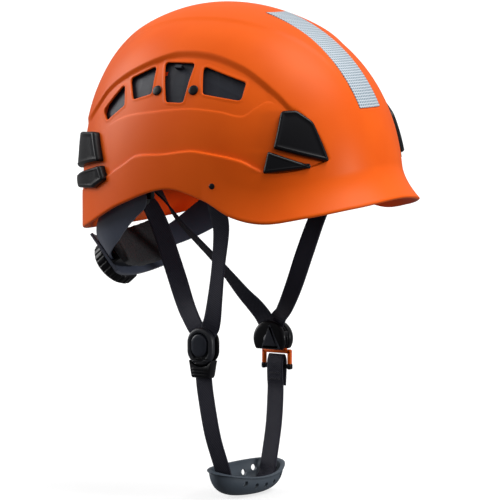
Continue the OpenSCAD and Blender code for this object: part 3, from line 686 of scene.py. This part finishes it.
RIVET_PLACE = (-70.25, 27.5)
PEG_PLACES = [(-102.5, 99.8), (-80.9, 101.2)]


def build_fasteners():
    lift = float(relief(*RIVET_PLACE))
    pin = [(1.9, -WALL - 2), (1.9, lift - 0.2), (2.3, lift - 0.1), (2.35, lift + 0.2), (1.9, lift + 0.45),
           (1.0, lift + 0.6), (0.3, lift + 0.62)]
    level = float(relief(*PEG_PLACES[0]))
    peg = [(2.0, -WALL - 2), (2.0, level - 0.2), (4.0, level - 0.1), (4.1, level + 0.5), (3.8, level + 1.0),
           (3.1, level + 1.25), (1.5, level + 1.35), (0.3, level + 1.35)]
    rivets, pegs = [], []
    for sign in (1, -1):
        p, f = lathe_on_shell(*RIVET_PLACE, pin)
        rivets.append((p * (1, sign, 1), f))
        for a, z in PEG_PLACES:
            p, f = lathe_on_shell(a, z, peg)
            pegs.append((p * (1, sign, 1), f))
    heads = merge("rivet_heads", rivets, BLACK, ROOT, "black_plastic", 50)
    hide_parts("strap_rivets")
    heads = merge("peg_heads", pegs, BLACK, ROOT, "black_plastic", 50)
    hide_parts("shutter_pegs")


def build_strip():
    rows, cols = 60, 12
    y = np.linspace(-STRIP_HALF, STRIP_HALF, cols + 1)
    z = np.linspace(*STRIP_Z, rows + 1)
    zz, yy = np.meshgrid(z, y, indexing="ij")
    a = strip_angle(yy, zz)
    top = on_shell(a, zz, np.full(a.shape, 0.85))
    length = np.cumsum(np.r_[0, np.linalg.norm(np.diff(top[:, cols // 2], axis=0), axis=1)])
    under = on_shell(a, zz, np.full(a.shape, 0.25))
    points = np.concatenate([top.reshape(-1, 3), under.reshape(-1, 3)])
    wide = cols + 1
    n = (rows + 1) * wide
    faces = []
    for i in range(rows):
        for j in range(cols):
            q = (i * wide + j, i * wide + j + 1, (i + 1) * wide + j + 1, (i + 1) * wide + j)
            faces += [q, tuple(n + v for v in q[::-1])]
    edge = ([(0, j) for j in range(cols)] + [(i, cols) for i in range(rows)]
            + [(rows, j) for j in range(cols, 0, -1)] + [(i, 0) for i in range(rows, 0, -1)])
    loop = [i * wide + j for i, j in edge]
    faces += [(loop[k], loop[(k + 1) % len(loop)], n + loop[(k + 1) % len(loop)], n + loop[k])
              for k in range(len(loop))]
    uv = np.tile(np.stack([np.tile(y, rows + 1), np.repeat(length, wide)], 1), (2, 1))
    strip = make("reflective_film_strip", points, faces, FILM, ROOT, "reflective", uv)
    fix_normals(strip, 40)
    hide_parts("reflective_strip")


# ---- Headlamp clips ----
# Corners of each pair of plates as (angle, height), and the radius at each corner
FRONT_UPPER = ([(-41, 85.3), (-35, 85.6), (-29.6, 77), (-25.5, 45.8), (-45.4, 57.2)], [5, 6, 9, 2.5, 1.8])
FRONT_LOWER = ([(-47.4, 55.2), (-31.6, 43.6), (-34.5, 41.6), (-49.8, 37.6)], [1.6, 1, 1, 2])
REAR_UPPER = ([(-136.8, 64), (-158, 61), (-163, 31), (-130.7, 41.8)], [4, 4, 2, 1.6])
REAR_LOWER = ([(-130.2, 38.4), (-160, 25.5), (-151, 17.5), (-134.5, 20), (-126.6, 27.5)], [1.8, 2, 2, 3, 2])
CLIPS = {"front": (FRONT_UPPER, FRONT_LOWER), "rear": (REAR_UPPER, REAR_LOWER)}
CLIP_HEIGHT = 4.6


def clip_pad(corners, round_by):
    """A cushion-edged plate that follows the shell."""
    middle = np.mean(corners, 0)
    per_degree = plan_r(middle[0]) * math.pi / 180
    flat = [((a - middle[0]) * per_degree, z) for a, z in corners]
    path = rounded(flat, round_by, pitch=1.6)
    out = outward(path)
    centre = path.mean(0)
    rings = []
    bevel = [(0.1, 2.2), (0.45, 1.1), (1.2, 0.35), (2.1, 0), (2.5, 0.02), (2.8, 0.3)]
    for inset, lift in [(0.0, -2.0)] + [(i, CLIP_HEIGHT - d) for i, d in bevel]:
        rings.append((path - out * inset, lift))
    last, lift = rings[-1]
    for s in (0.8, 0.55, 0.3, 0.1):
        rings.append((centre + (last - centre) * s, lift))
    return loft([on_shell(r[:, 0] / per_degree + middle[0], r[:, 1], np.full(len(r), lift))
                 for r, lift in rings])


def build_clips():
    for place, plates in CLIPS.items():
        for side, sign in (("right", 1), ("left", -1)):
            pads = [clip_pad(corners, round_by) for corners, round_by in plates]
            pads = [(points * (1, sign, 1), faces) for points, faces in pads]
            name = f"lamp_clip_{place}_{side}"
            clip = merge(name + "_body", pads, BLACK, ROOT, "black_plastic", 50)
            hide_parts(name)


# ---- Webbing ----
WEB_W = 15.0
WEB_T = 1.6
ROUTE_STEPS = 14


def route(stations):
    """Smooth run through stations of (x, y, z, width direction x, y, z), as the CAD has it."""
    p = np.array(stations, float)
    last = len(p) - 1
    out = []
    for i in range(last):
        before, after = p[max(0, i - 1)], p[min(last, i + 2)]
        ma = (p[i + 1] - before) / (1 if i == 0 else 2)
        mb = (after - p[i]) / (1 if i + 1 == last else 2)
        for t in np.arange(ROUTE_STEPS) / ROUTE_STEPS:
            out.append((2 * t**3 - 3 * t**2 + 1) * p[i] + (t**3 - 2 * t**2 + t) * ma
                       + (3 * t**2 - 2 * t**3) * p[i + 1] + (t**3 - t**2) * mb)
    out.append(p[last])
    return np.array(out)


def strap_section(width, thick):
    """Flat section with rounded selvedges, as (across, up) pairs."""
    across = np.linspace(-1, 1, 11)
    face = [(u * (width / 2 - 0.5), thick / 2 * (0.94 + 0.06 * u * u)) for u in across]
    edge = [(width / 2 - 0.15, thick * 0.32), (width / 2, 0), (width / 2 - 0.15, -thick * 0.32)]
    back = [(-x, -y) for x, y in face]
    other = [(-x, -y) for x, y in edge]
    return np.array(face + edge + back + other)


def strap(name, stations, body, node_name, left=False, width=WEB_W, thick=WEB_T):
    """A strap along stations; one given for the right side is mirrored to the left."""
    p = route(stations)
    centre, w = p[:, :3], p[:, 3:]
    t = np.gradient(centre, axis=0)
    t /= np.linalg.norm(t, axis=1, keepdims=True)
    w = w - np.sum(w * t, 1, keepdims=True) * t
    w /= np.linalg.norm(w, axis=1, keepdims=True)
    up = np.cross(t, w)
    section = strap_section(width, thick)
    rings = [c + section[:, :1] * wi + section[:, 1:] * ui for c, wi, ui in zip(centre, w, up)]
    run = np.cumsum(np.r_[0, np.linalg.norm(np.diff(centre, axis=0), axis=1)])
    uv = np.concatenate([np.stack([section[:, 0], np.full(len(section), v)], 1) for v in run])
    points, faces = loft(rings)
    if left:
        points = points * (1, -1, 1)
    piece = make(name, points, faces, WEBBING, body, "webbing", uv)
    fix_normals(piece, 60)
    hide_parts(node_name)


# The angle of the front straps' rivets, and the place where the straps of a side join
STRAP_ANGLE = -70.2
JOIN = (-3.5, 51.0)
SWIVEL_Z = -108.0
OVAL_Z = -104.0


def wall_point(z, push=0.0):
    x, y, _ = dome(STRAP_ANGLE, z, 4.9)
    return float(x), float(y) + push, z


FRONT = [(*wall_point(38), 0.984, 0.177, 0), (*wall_point(29), 0.984, 0.177, 0),
         (*wall_point(20, 1), 0.984, 0.17, 0), (30.5, -83, 5, 0.98, 0.15, 0), (26.3, -72.7, -10, 1, -0.1, 0),
         (19, -65.2, -38, 0.94, -0.3, 0), (12.2, -59.3, -65, 0.96, -0.2, 0.1),
         (6.6, -54.6, -83, 0.96, -0.05, 0.25), (2.4, -52.3, -90.5, 0.96, 0, 0.26),
         (-1.4, -52, -97, 0.97, 0, 0.2)]
REAR = [(-95.4, -12, 12, 0, 1, 0), (-95.4, -12, 25, 0, 1, 0), (-93, -12, 30, 0, 1, 0),
        (-90.6, -12, 25, 0, 1, 0), (-90, -12, 14, 0.05, 1, 0), (-80, -12, 2, 0.45, 0.85, 0.1),
        (-67.5, -15.8, -15, 0.63, 0.73, 0.25), (-43, -32.5, -47, 0.66, 0.62, 0.35),
        (-26.5, -43.2, -71, 0.85, 0.3, 0.45), (-18.5, -47.8, -81, 0.9, 0.08, 0.45),
        (-12.6, -50, -88.5, 0.93, 0, 0.38), (-8.6, -50, -94, 0.97, 0, 0.25), (-6.6, -50, -97.5, 1, 0, 0.15)]
RECEIVER_Y = JOIN[1] + 4.1
TONGUE_Y = RECEIVER_Y + 3.8
LOOP_GAP = 2.9
TAIL = [(1.5, 46, -176, 1, 0, 0), (3.6, 35.5, -203, 1, 0, 0), (4, 32, -213, 1, 0, 0),
        (4, 27, -218.5, 1, 0, 0), (4, 19, -221.1, 1, 0, 0)]
LOWER_RIGHT = [(-3.5, 51, -122.3, 1, 0, 0), (-3.5, 51, -130, 1, 0, 0), (-2, 50, -146, 1, 0, 0)] + TAIL
LOWER_LEFT = [(-3.5, TONGUE_Y + LOOP_GAP - 1.2, -147, 1, 0, 0),
              (-3.5, TONGUE_Y + LOOP_GAP - 0.6, -140, 1, 0, 0),
              (-3.5, TONGUE_Y + LOOP_GAP, -127.4, 1, 0, 0), (-3.5, TONGUE_Y, -121.9, 1, 0, 0),
              (-3.5, TONGUE_Y - LOOP_GAP, -127.4, 1, 0, 0), (-3.5, TONGUE_Y - LOOP_GAP, -140, 1, 0, 0),
              (-3.1, TONGUE_Y - LOOP_GAP, -151, 1, 0, 0)] + TAIL
CRADLE_ANGLES = (42, 145)
CRADLE_R = 100.0
CRADLE_BASE = 31.5
CRADLE_LIFT = 92.0
CRADLE_GAP = 2.2
CRADLE_SIZE = {"width": 18, "thick": 1.2}
YOKE_HALF = [(-67.5, 46.7), (-74, 41), (-82.3, 34.5), (-89.3, 27), (-92.9, 18.5), (-93, 9)]
YOKE_Z = 20


def cradle(hand, lift):
    turn = math.radians(hand * CRADLE_ANGLES[0])
    across = (-math.sin(turn), math.cos(turn))
    stations = []
    for t in range(0, 181, 20):
        a = math.radians(hand * CRADLE_ANGLES[0] if t <= 90 else -hand * CRADLE_ANGLES[1])
        r = CRADLE_R * abs(math.cos(math.radians(t)))
        stations.append((r * math.cos(a), r * math.sin(a), CRADLE_BASE + lift * math.sin(math.radians(t)),
                         *across, 0))
    return stations


def square_to(p, q, hint):
    """Two unit directions square to the line from p to q."""
    along = (q - p) / np.linalg.norm(q - p)
    side = np.cross(along, hint)
    side /= np.linalg.norm(side)
    return side, np.cross(along, side)


def stitches(name, spots, body):
    """Short raised threads, each from one point to another."""
    parts = []
    for p, q in spots:
        p, q = np.array(p, float), np.array(q, float)
        side, other = square_to(p, q, (0.31, 0.87, 0.38))
        rings = []
        for s, r in ((0, 0.08), (0.15, 0.26), (0.5, 0.32), (0.85, 0.26), (1, 0.08)):
            rings.append(np.array([p + (q - p) * s + r * (side * math.cos(t) + other * math.sin(t))
                                   for t in np.arange(6) * math.pi / 3]))
        parts.append(loft(rings))
    make(name, *gather(parts), THREAD, body, "webbing")


TACK_WIDTH = 11.0
TACK_GAP = 5.0
TACK_TURN = 0.9


def bar_tack(centre):
    """Two zigzag rows of thread across a strap that hangs straight down, as pairs of points."""
    across, along = np.array([1.0, 0, 0]), np.array([0, 0, 1.0])
    spots = []
    for row in (-0.5, 0.5):
        base = np.array(centre, float) + along * row * TACK_GAP
        xs = np.linspace(-TACK_WIDTH / 2, TACK_WIDTH / 2, 12)
        for i in range(11):
            zag = along * (TACK_TURN * (-1)**i)
            spots.append((base + across * xs[i] + zag, base + across * xs[i + 1] - zag))
    return spots


def build_webbing():
    for side, left in (("right", False), ("left", True)):
        strap(f"front_webbing_{side}", FRONT, ROOT, f"front_strap_{side}", left)
        strap(f"rear_webbing_{side}", REAR, ROOT, f"rear_strap_{side}", left)
    strap("lower_webbing_right", LOWER_RIGHT, "chin", "lower_strap_right", True)
    strap("lower_webbing_left", LOWER_LEFT, "chin", "lower_strap_left")
    strap("cradle_webbing_lower", cradle(1, CRADLE_LIFT), ROOT, "crown_strap_lower", **CRADLE_SIZE)
    strap("cradle_webbing_upper", cradle(-1, CRADLE_LIFT + CRADLE_GAP), ROOT, "crown_strap_upper",
          **CRADLE_SIZE)
    yoke = [(x, y, YOKE_Z, 0, 0, 1) for x, y in YOKE_HALF]
    yoke += [(-93, 0, YOKE_Z, 0, 0, 1)] + [(x, -y, YOKE_Z, 0, 0, 1) for x, y in YOKE_HALF[::-1]]
    strap("rear_yoke_webbing", yoke, ROOT, "rear_yoke", width=14)
    face_y = TONGUE_Y - LOOP_GAP - WEB_T / 2 - 0.05
    stitches("lower_left_stitching", bar_tack((-3.4, face_y, -139)), "chin")


# ---- Plates that stand upright across Y ----
def covers(outline, start, profile, hand=1):
    """A plate with this outline at each (inset, depth), stepping from start along Y, or against it."""
    return loft([ring_at(outline(inset), start + hand * depth) for inset, depth in profile])


def stadium(width, height, x, z, inset, count=64):
    """Outline of a slot shape standing upright, [x, z] pairs."""
    r = width / 2 - inset
    rise = (height - width) / 2
    t = np.arange(count) * 2 * math.pi / count
    return np.stack([x + r * np.cos(t), z + r * np.sin(t) + np.where(np.sin(t) >= 0, rise, -rise)], 1)


def ring_at(outline, y):
    return np.stack([outline[:, 0], np.full(len(outline), y), outline[:, 1]], 1)


def box_outline(half_x, low, high, x, inset, r):
    return rounded([(x - half_x + inset, low + inset), (x + half_x - inset, low + inset),
                    (x + half_x - inset, high - inset), (x - half_x + inset, high - inset)],
                   max(0.3, r - inset * 0.5), arc_steps=5, pitch=UNFILLED)


def block(half_x, low, high, x, y, r, section, scale=1):
    """A plate with a round-cornered box outline and this section across Y."""
    return covers(lambda inset: box_outline(half_x, low, high, x, inset, r), y, section, scale)


def rib(x, y, z, half, r):
    """A round-ended raised rib lying along X on a face towards -Y."""
    rings = []
    for s in np.linspace(-1, 1, 13):
        k = max(0.15, (1 - abs(s)**6)**0.5)
        rings.append(np.array([(x + s * half, y - r * k * math.sin(t) * 1.1, z + r * k * math.cos(t))
                               for t in np.arange(10) * math.pi / 5]))
    return loft(rings)


# ---- Divider on the right ----
def oval(inset):
    return stadium(24, 30, JOIN[0], OVAL_Z, inset)


def press_button(inset):
    return stadium(14.4, 18.4, JOIN[0], OVAL_Z + 1.0, inset)


def build_divider():
    front = -JOIN[1] - 2.2
    face = [(0.8, 0.0), (0.1, 0.5), (0.0, 1.6), (0.1, 3.4), (0.7, 4.5), (1.7, 5.0), (2.9, 5.05), (3.8, 4.8),
            (4.3, 4.0), (4.4, 2.6), (4.9, 2.2), (6.0, 2.2)]
    plate = merge("divider_front_cover", [covers(oval, front, face, -1)], GRAPHITE, ROOT, "black_plastic")
    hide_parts("divider_front")
    ribs = []
    for k in range(3):
        z = OVAL_Z - 9.6 - 1.9 * k
        half = math.sqrt(max(0, 13**2 - (z - OVAL_Z + 2)**2)) - 1.6
        ribs.append(rib(JOIN[0], front - 4.6, z, half, 0.75))
    merge("divider_ribs", ribs, BLACK, ROOT, "black_plastic")
    button = [(0.3, 3.0), (0.2, 5.2), (0.5, 5.9), (1.4, 6.3), (3.0, 6.45), (5.0, 6.5), (7.2, 6.5)]
    cap = merge("divider_button_cap", [covers(press_button, front, button, -1)], SLATE, "divider_button",
                "grey_plastic")
    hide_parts("divider_button")
    back = [(0.9, 0.0), (0.1, 0.6), (0.0, 1.6), (0.3, 2.4), (1.2, 2.8), (6.0, 3.0), (12.0, 3.05)]
    plate = merge("divider_back_cover", [covers(oval, -JOIN[1] + 2, back)], BLACK, ROOT, "black_plastic")
    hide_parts("divider_back")


def neck_outline(inset):
    """The swivel below the divider: hollowed above to turn round it, tapering down to the webbing."""
    reach = 11.8 + inset
    t = np.radians(np.linspace(-54, 54, 19))
    arc = [(JOIN[0] + reach * math.sin(u), SWIVEL_Z - reach * math.cos(u)) for u in t]
    low = -129.0 + inset
    side = [(10.3, -117.5), (9.7, -121), (9.0, -125), (8.4, -127.6)]
    right = [(JOIN[0] + x - inset, z) for x, z in side] + [(JOIN[0] + 7.6 - inset, low)]
    left = [(JOIN[0] - x + inset, z) for x, z in side[::-1]]
    return np.array(arc + right + [(JOIN[0] - 7.6 + inset, low)] + left)


def build_swivel():
    x, y = JOIN[0], -JOIN[1]
    skin = [(0.9, -6.2), (0.25, -5.7), (0, -4.6), (0, 2.2), (0.3, 3.0), (1.0, 3.4)]
    parts = [covers(neck_outline, y, skin)]
    tab = [(0.3, -1.7), (0, -1.4), (0, 1.4), (0.3, 1.7)]
    parts.append(block(6.2, -122, -103, x, y, 3, tab))
    parts += [rib(x, y - 6.1, z, half, 0.8) for z, half in ((-121.6, 8.0), (-124.0, 7.7), (-126.4, 7.2))]
    body = merge("divider_swivel_body", parts, BLACK, "chin", "black_plastic")
    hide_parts("divider_swivel")


# ---- Buckle on the left ----
DISC_R = 15.0
CUT_Z = -116.5


def cut_disc(inset, count=72):
    """A disc with a flat cut below, [x, z] pairs about the swivel axis."""
    r = DISC_R - inset
    t = np.arange(count) * 2 * math.pi / count - math.pi / 2
    z = np.maximum(r * np.sin(t), CUT_Z - SWIVEL_Z + inset)
    return np.stack([JOIN[0] + r * np.cos(t), SWIVEL_Z + z], 1)


def release_circle(r):
    return stadium(2 * r, 2 * r, JOIN[0], -98.4, 0, 40)


def build_buckle():
    y = JOIN[1]
    inner = [(0.9, -2.0), (0.1, -2.6), (0.0, -3.6), (0.3, -4.6), (1.2, -5.2), (3.0, -5.6), (7.0, -5.9)]
    disc = covers(cut_disc, y, inner)
    outer = [(1.8, 2.2), (1.5, 2.6), (1.5, 3.4), (1.9, 3.8), (6, 3.8)]
    back = covers(cut_disc, y, outer)
    posts = [loft([ring_at(stadium(3, 5, JOIN[0] + s * 12.4, OVAL_Z, 0, 20), y + d) for d in (-2.4, 2.6)])
             for s in (-1, 1)]
    body = merge("junction_body", [disc, back] + posts, BLACK, ROOT, "black_plastic")
    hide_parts("junction_plate")
    # The raised triangular facet on the black disc is drawn in the lighter slate plastic, a painted highlight
    # for its lit face.
    facet_path = [(JOIN[0] + 1.6, SWIVEL_Z + 12.6), (JOIN[0] - 6.4, CUT_Z + 0.7),
                  (JOIN[0] + 11.4, CUT_Z + 1.2)]
    path = rounded(facet_path, 0.9, arc_steps=4, pitch=UNFILLED)
    rings = [ring_at(path - outward(path) * inset, y + d)
             for inset, d in ((0.0, -5.0), (0.0, -6.2), (0.35, -6.6), (0.9, -6.75), (2.2, -6.8))]
    merge("junction_facet_painted_highlight", [loft(rings)], SLATE, ROOT, "black_plastic", 30)
    # Buckle receiver outside the junction, with a window round the release button
    face = [(1.2, 0.0), (0.6, 0.6), (0.5, 1.6), (0.6, 5.0), (1.1, 6.2), (2.0, 7.1), (3.4, 7.5), (8.0, 7.6)]
    parts = [covers(cut_disc, RECEIVER_Y, face)]
    ring = [(5.6, 7.3), (5.5, 7.9), (5.0, 8.1), (4.6, 7.9), (4.3, 7.3)]
    parts.append(loft([ring_at(release_circle(r), RECEIVER_Y + d) for r, d in ring], False, False))
    parts += [outer_rib(z) for z in (-108.5, -111.0, -113.5)]
    body = merge("receiver_body", parts, BLACK, "chin", "black_plastic")
    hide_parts("buckle_receiver")
    cap = [(4.0, 7.0), (4.0, 8.4), (3.7, 8.9), (3.0, 9.1), (1.5, 8.9), (0.3, 8.85)]
    button = merge("release_button_cap", [covers(release_circle, RECEIVER_Y, cap)], ORANGE, "release",
                   "orange_shell")
    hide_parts("release_button")


def outer_rib(z):
    points, faces = rib(JOIN[0], 0, z, 8.0, 0.7)
    return points * (1, -1, 1) + (0, RECEIVER_Y + 7.4, 0), faces


def build_tongue():
    """Orange frame that carries the webbing bar, with black ends."""
    x, y = JOIN[0], TONGUE_Y
    section = [(0.5, -1.7), (0.0, -1.2), (0.0, 1.2), (0.5, 1.7)]
    parts = [block(13.5, -120.4, -117.2, x, y, 1.2, section)]
    for s in (-1, 1):
        parts.append(block(1.5, -129.2, -118, x + s * 12.0, y, 0.8, section))
        parts.append(block(2.4, -118, -104, x + s * 6.6, y, 0.8, section, 0.85))
    body = merge("tongue_frame", parts, ORANGE, "tongue", "orange_shell")
    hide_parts("buckle_tongue")
    tips = [block(1.9, -133.4, -128.6, x + s * 12.1, y, 1.5, section, 1.15) for s in (-1, 1)]
    bar = [np.array([(x + s, y + 1.6 * math.cos(t), -131 + 1.6 * math.sin(t))
                     for t in np.arange(16) * math.pi / 8]) for s in (-11.5, 11.5)]
    tips.append(loft(bar))
    ends = merge("tongue_ends", tips, BLACK, "tongue", "black_plastic")
    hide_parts("tongue_tips")


# ---- Chin cup ----
CUP_X = 4.0
CUP_HALF = (20.0, 46.0)
CUP_BOTTOM = -227.0
CUP_T = 2.6
CUP_COLS = 128
DRILL_SIDES = 24
# The rear drillings spread outwards by this much
DRILL_SPLAY = 7.7


def cup_point(a, v, inset):
    a = np.radians(a)
    rim = -206 - 3.5 * np.cos(a) - 3.5 * np.cos(a)**2
    k = np.cos(math.pi / 2 * v)**0.6
    z = rim + (CUP_BOTTOM + inset - rim) * np.sin(math.pi / 2 * v)
    x, y = (CUP_HALF[0] - inset) * np.cos(a) * k, (CUP_HALF[1] - inset) * np.sin(a) * k
    return np.stack([CUP_X + x, y, z], -1)


def build_cup():
    a = np.arange(CUP_COLS) * 360 / CUP_COLS
    rows = np.linspace(0, 0.985, 30)
    outer = [cup_point(a, v, 0) for v in rows]
    inner = [cup_point(a, v, CUP_T) for v in rows]
    # A turned-out lip with a rounded edge joins the two skins
    flow = np.stack([np.cos(np.radians(a)), np.sin(np.radians(a)), np.zeros(CUP_COLS)], 1)
    ends = (1 + 3.2 * np.abs(np.sin(np.radians(a)))**10)[:, None]
    lip = [outer[0] + flow * 0.5, outer[0] + flow * 0.9 * ends + (0, 0, 0.2),
           outer[0] + flow * 1.1 * ends + (0, 0, 0.8), outer[0] + flow * 0.7 * ends + (0, 0, 1.3),
           (outer[0] + inner[0]) / 2 + (0, 0, 1.5), inner[0] + (0, 0, 0.9)]
    points, faces = loft(outer[::-1] + lip + inner)
    cup = make("chin_cup_body", points, faces, CUP, "chin", "cup_rubber")
    fix_normals(cup)
    drills = [drill((CUP_X + 6, y, z), (CUP_X + 30, y, z), 2.3)
              for y, z in ((-26, -215.5), (-13, -218.5), (0, -219.3), (13, -218.5), (26, -215.5))]
    for y, z in ((-27.2, -211), (-15.2, -214), (15.2, -214), (27.2, -211)):
        drills.append(drill((CUP_X - 4, y, z), (CUP_X - 24, y + math.copysign(DRILL_SPLAY, y), z), 2.6))
    tool = merge("cup_drills", drills, CUP, "chin", "cup_rubber")
    cut(cup, tool)
    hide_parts("chin_cup")


def drill(p, q, r):
    p, q = np.array(p, float), np.array(q, float)
    side, other = square_to(p, q, (0, 0, 1.0))
    t = np.arange(DRILL_SIDES) * 2 * math.pi / DRILL_SIDES
    ring = r * (np.cos(t)[:, None] * side + np.sin(t)[:, None] * other)
    return loft([p + ring, q + ring])


def cut(piece, tool):
    modifier = piece.modifiers.new("cut", "BOOLEAN")
    modifier.operation = "DIFFERENCE"
    modifier.object = tool
    modifier.solver = "EXACT"
    apply_modifiers(piece)
    bpy.data.objects.remove(tool)
    fix_normals(piece, 50)


def apply_modifiers(piece):
    bpy.context.view_layer.update()
    result = bpy.data.meshes.new_from_object(piece.evaluated_get(bpy.context.evaluated_depsgraph_get()))
    result.name = piece.name
    piece.modifiers.clear()
    piece.data = result


# ---- CAD parts that keep their shape, some of them with their edges softened ----
BEVEL_ANGLE = 28
SHARP_ANGLE = 40


def softened(node_name, material, body, width):
    """A copy of a CAD part with small rounded edges."""
    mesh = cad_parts[node_name].data.copy()
    work = bmesh.new()
    work.from_mesh(mesh)
    bmesh.ops.remove_doubles(work, verts=work.verts, dist=1e-6)
    bmesh.ops.dissolve_limit(work, angle_limit=math.radians(0.5), verts=work.verts, edges=work.edges)
    work.to_mesh(mesh)
    work.free()
    mesh.materials.clear()
    mesh.materials.append(material)
    piece = bpy.data.objects.new(node_name + "_soft", mesh)
    bpy.context.collection.objects.link(piece)
    bevel = piece.modifiers.new("bevel", "BEVEL")
    bevel.width = width * MM
    bevel.segments = 2
    bevel.limit_method = "ANGLE"
    bevel.angle_limit = math.radians(BEVEL_ANGLE)
    bevel.use_clamp_overlap = True
    apply_modifiers(piece)
    piece.data.polygons.foreach_set("use_smooth", [True] * len(piece.data.polygons))
    piece.data.set_sharp_from_angle(angle=math.radians(SHARP_ANGLE))
    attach(piece, body)
    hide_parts(node_name)


def keep(node_name, material):
    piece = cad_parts[node_name]
    piece.data.materials.clear()
    piece.data.materials.append(material)


def build_kept():
    for name in ("vent_shutter_right", "vent_shutter_left"):
        keep(name, PANEL)
    for name in ("harness_clips", "pinion"):
        keep(name, BLACK)
    for name in ("knob_screw", "junction_rivet", "divider_spring", "release_spring"):
        keep(name, STEEL)
    softened("headband", BLACK, ROOT, 0.5)
    softened("nape_housing", BLACK, "nape_frame", 0.3)
    softened("nape_cover", GREY, "nape_frame", 0.6)
    softened("arm_right", GREY, "arm_right", 0.3)
    softened("arm_left", GREY, "arm_left", 0.3)
    softened("knob", BLACK, "knob", 0.35)


# ---- Pads ----
PAD_VOXEL = 0.0016
PAD_PRESSURE = 4
PAD_FRAMES = 12
# The cloth may move a point by this much, in millimetres
PAD_SWELL = 0.8


def pad(node_name, body, name):
    """A CAD pad swollen by cloth simulation into a soft cushion."""
    piece = bpy.data.objects.new(name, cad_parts[node_name].data.copy())
    bpy.context.collection.objects.link(piece)
    piece.data.materials.clear()
    piece.data.materials.append(FABRIC)
    remesh = piece.modifiers.new("remesh", "REMESH")
    remesh.mode = "VOXEL"
    remesh.voxel_size = PAD_VOXEL
    apply_modifiers(piece)
    start = np.array([v.co for v in piece.data.vertices])
    cloth = piece.modifiers.new("cloth", "CLOTH")
    cloth.settings.use_pressure = True
    cloth.settings.uniform_pressure_force = PAD_PRESSURE
    cloth.settings.effector_weights.gravity = 0
    scene = bpy.context.scene
    for f in range(1, PAD_FRAMES + 1):
        scene.frame_set(f)
    apply_modifiers(piece)
    scene.frame_set(1)
    moved = np.array([v.co for v in piece.data.vertices]) - start
    length = np.linalg.norm(moved, axis=1, keepdims=True)
    moved *= np.minimum(1, PAD_SWELL * MM / np.maximum(length, 1e-9))
    piece.data.vertices.foreach_set("co", (start + moved).ravel())
    smoother = piece.modifiers.new("smooth", "SMOOTH")
    smoother.factor = 0.5
    smoother.iterations = 4
    apply_modifiers(piece)
    piece.data.polygons.foreach_set("use_smooth", [True] * len(piece.data.polygons))
    if not piece.data.materials:
        piece.data.materials.append(FABRIC)
    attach(piece, body)
    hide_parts(node_name)


def build_pads():
    pad("brow_pad", ROOT, "brow_cushion")
    pad("nape_pad", "nape_frame", "nape_cushion")
    pad("crown_pad", ROOT, "crown_cushion")


set_camera()
set_studio()
build_shell()
build_strip()
build_fasteners()
build_clips()
build_webbing()
build_divider()
build_swivel()
build_buckle()
build_tongue()
build_cup()
build_kept()
build_pads()
bpy.context.scene.view_settings.view_transform = "Standard"
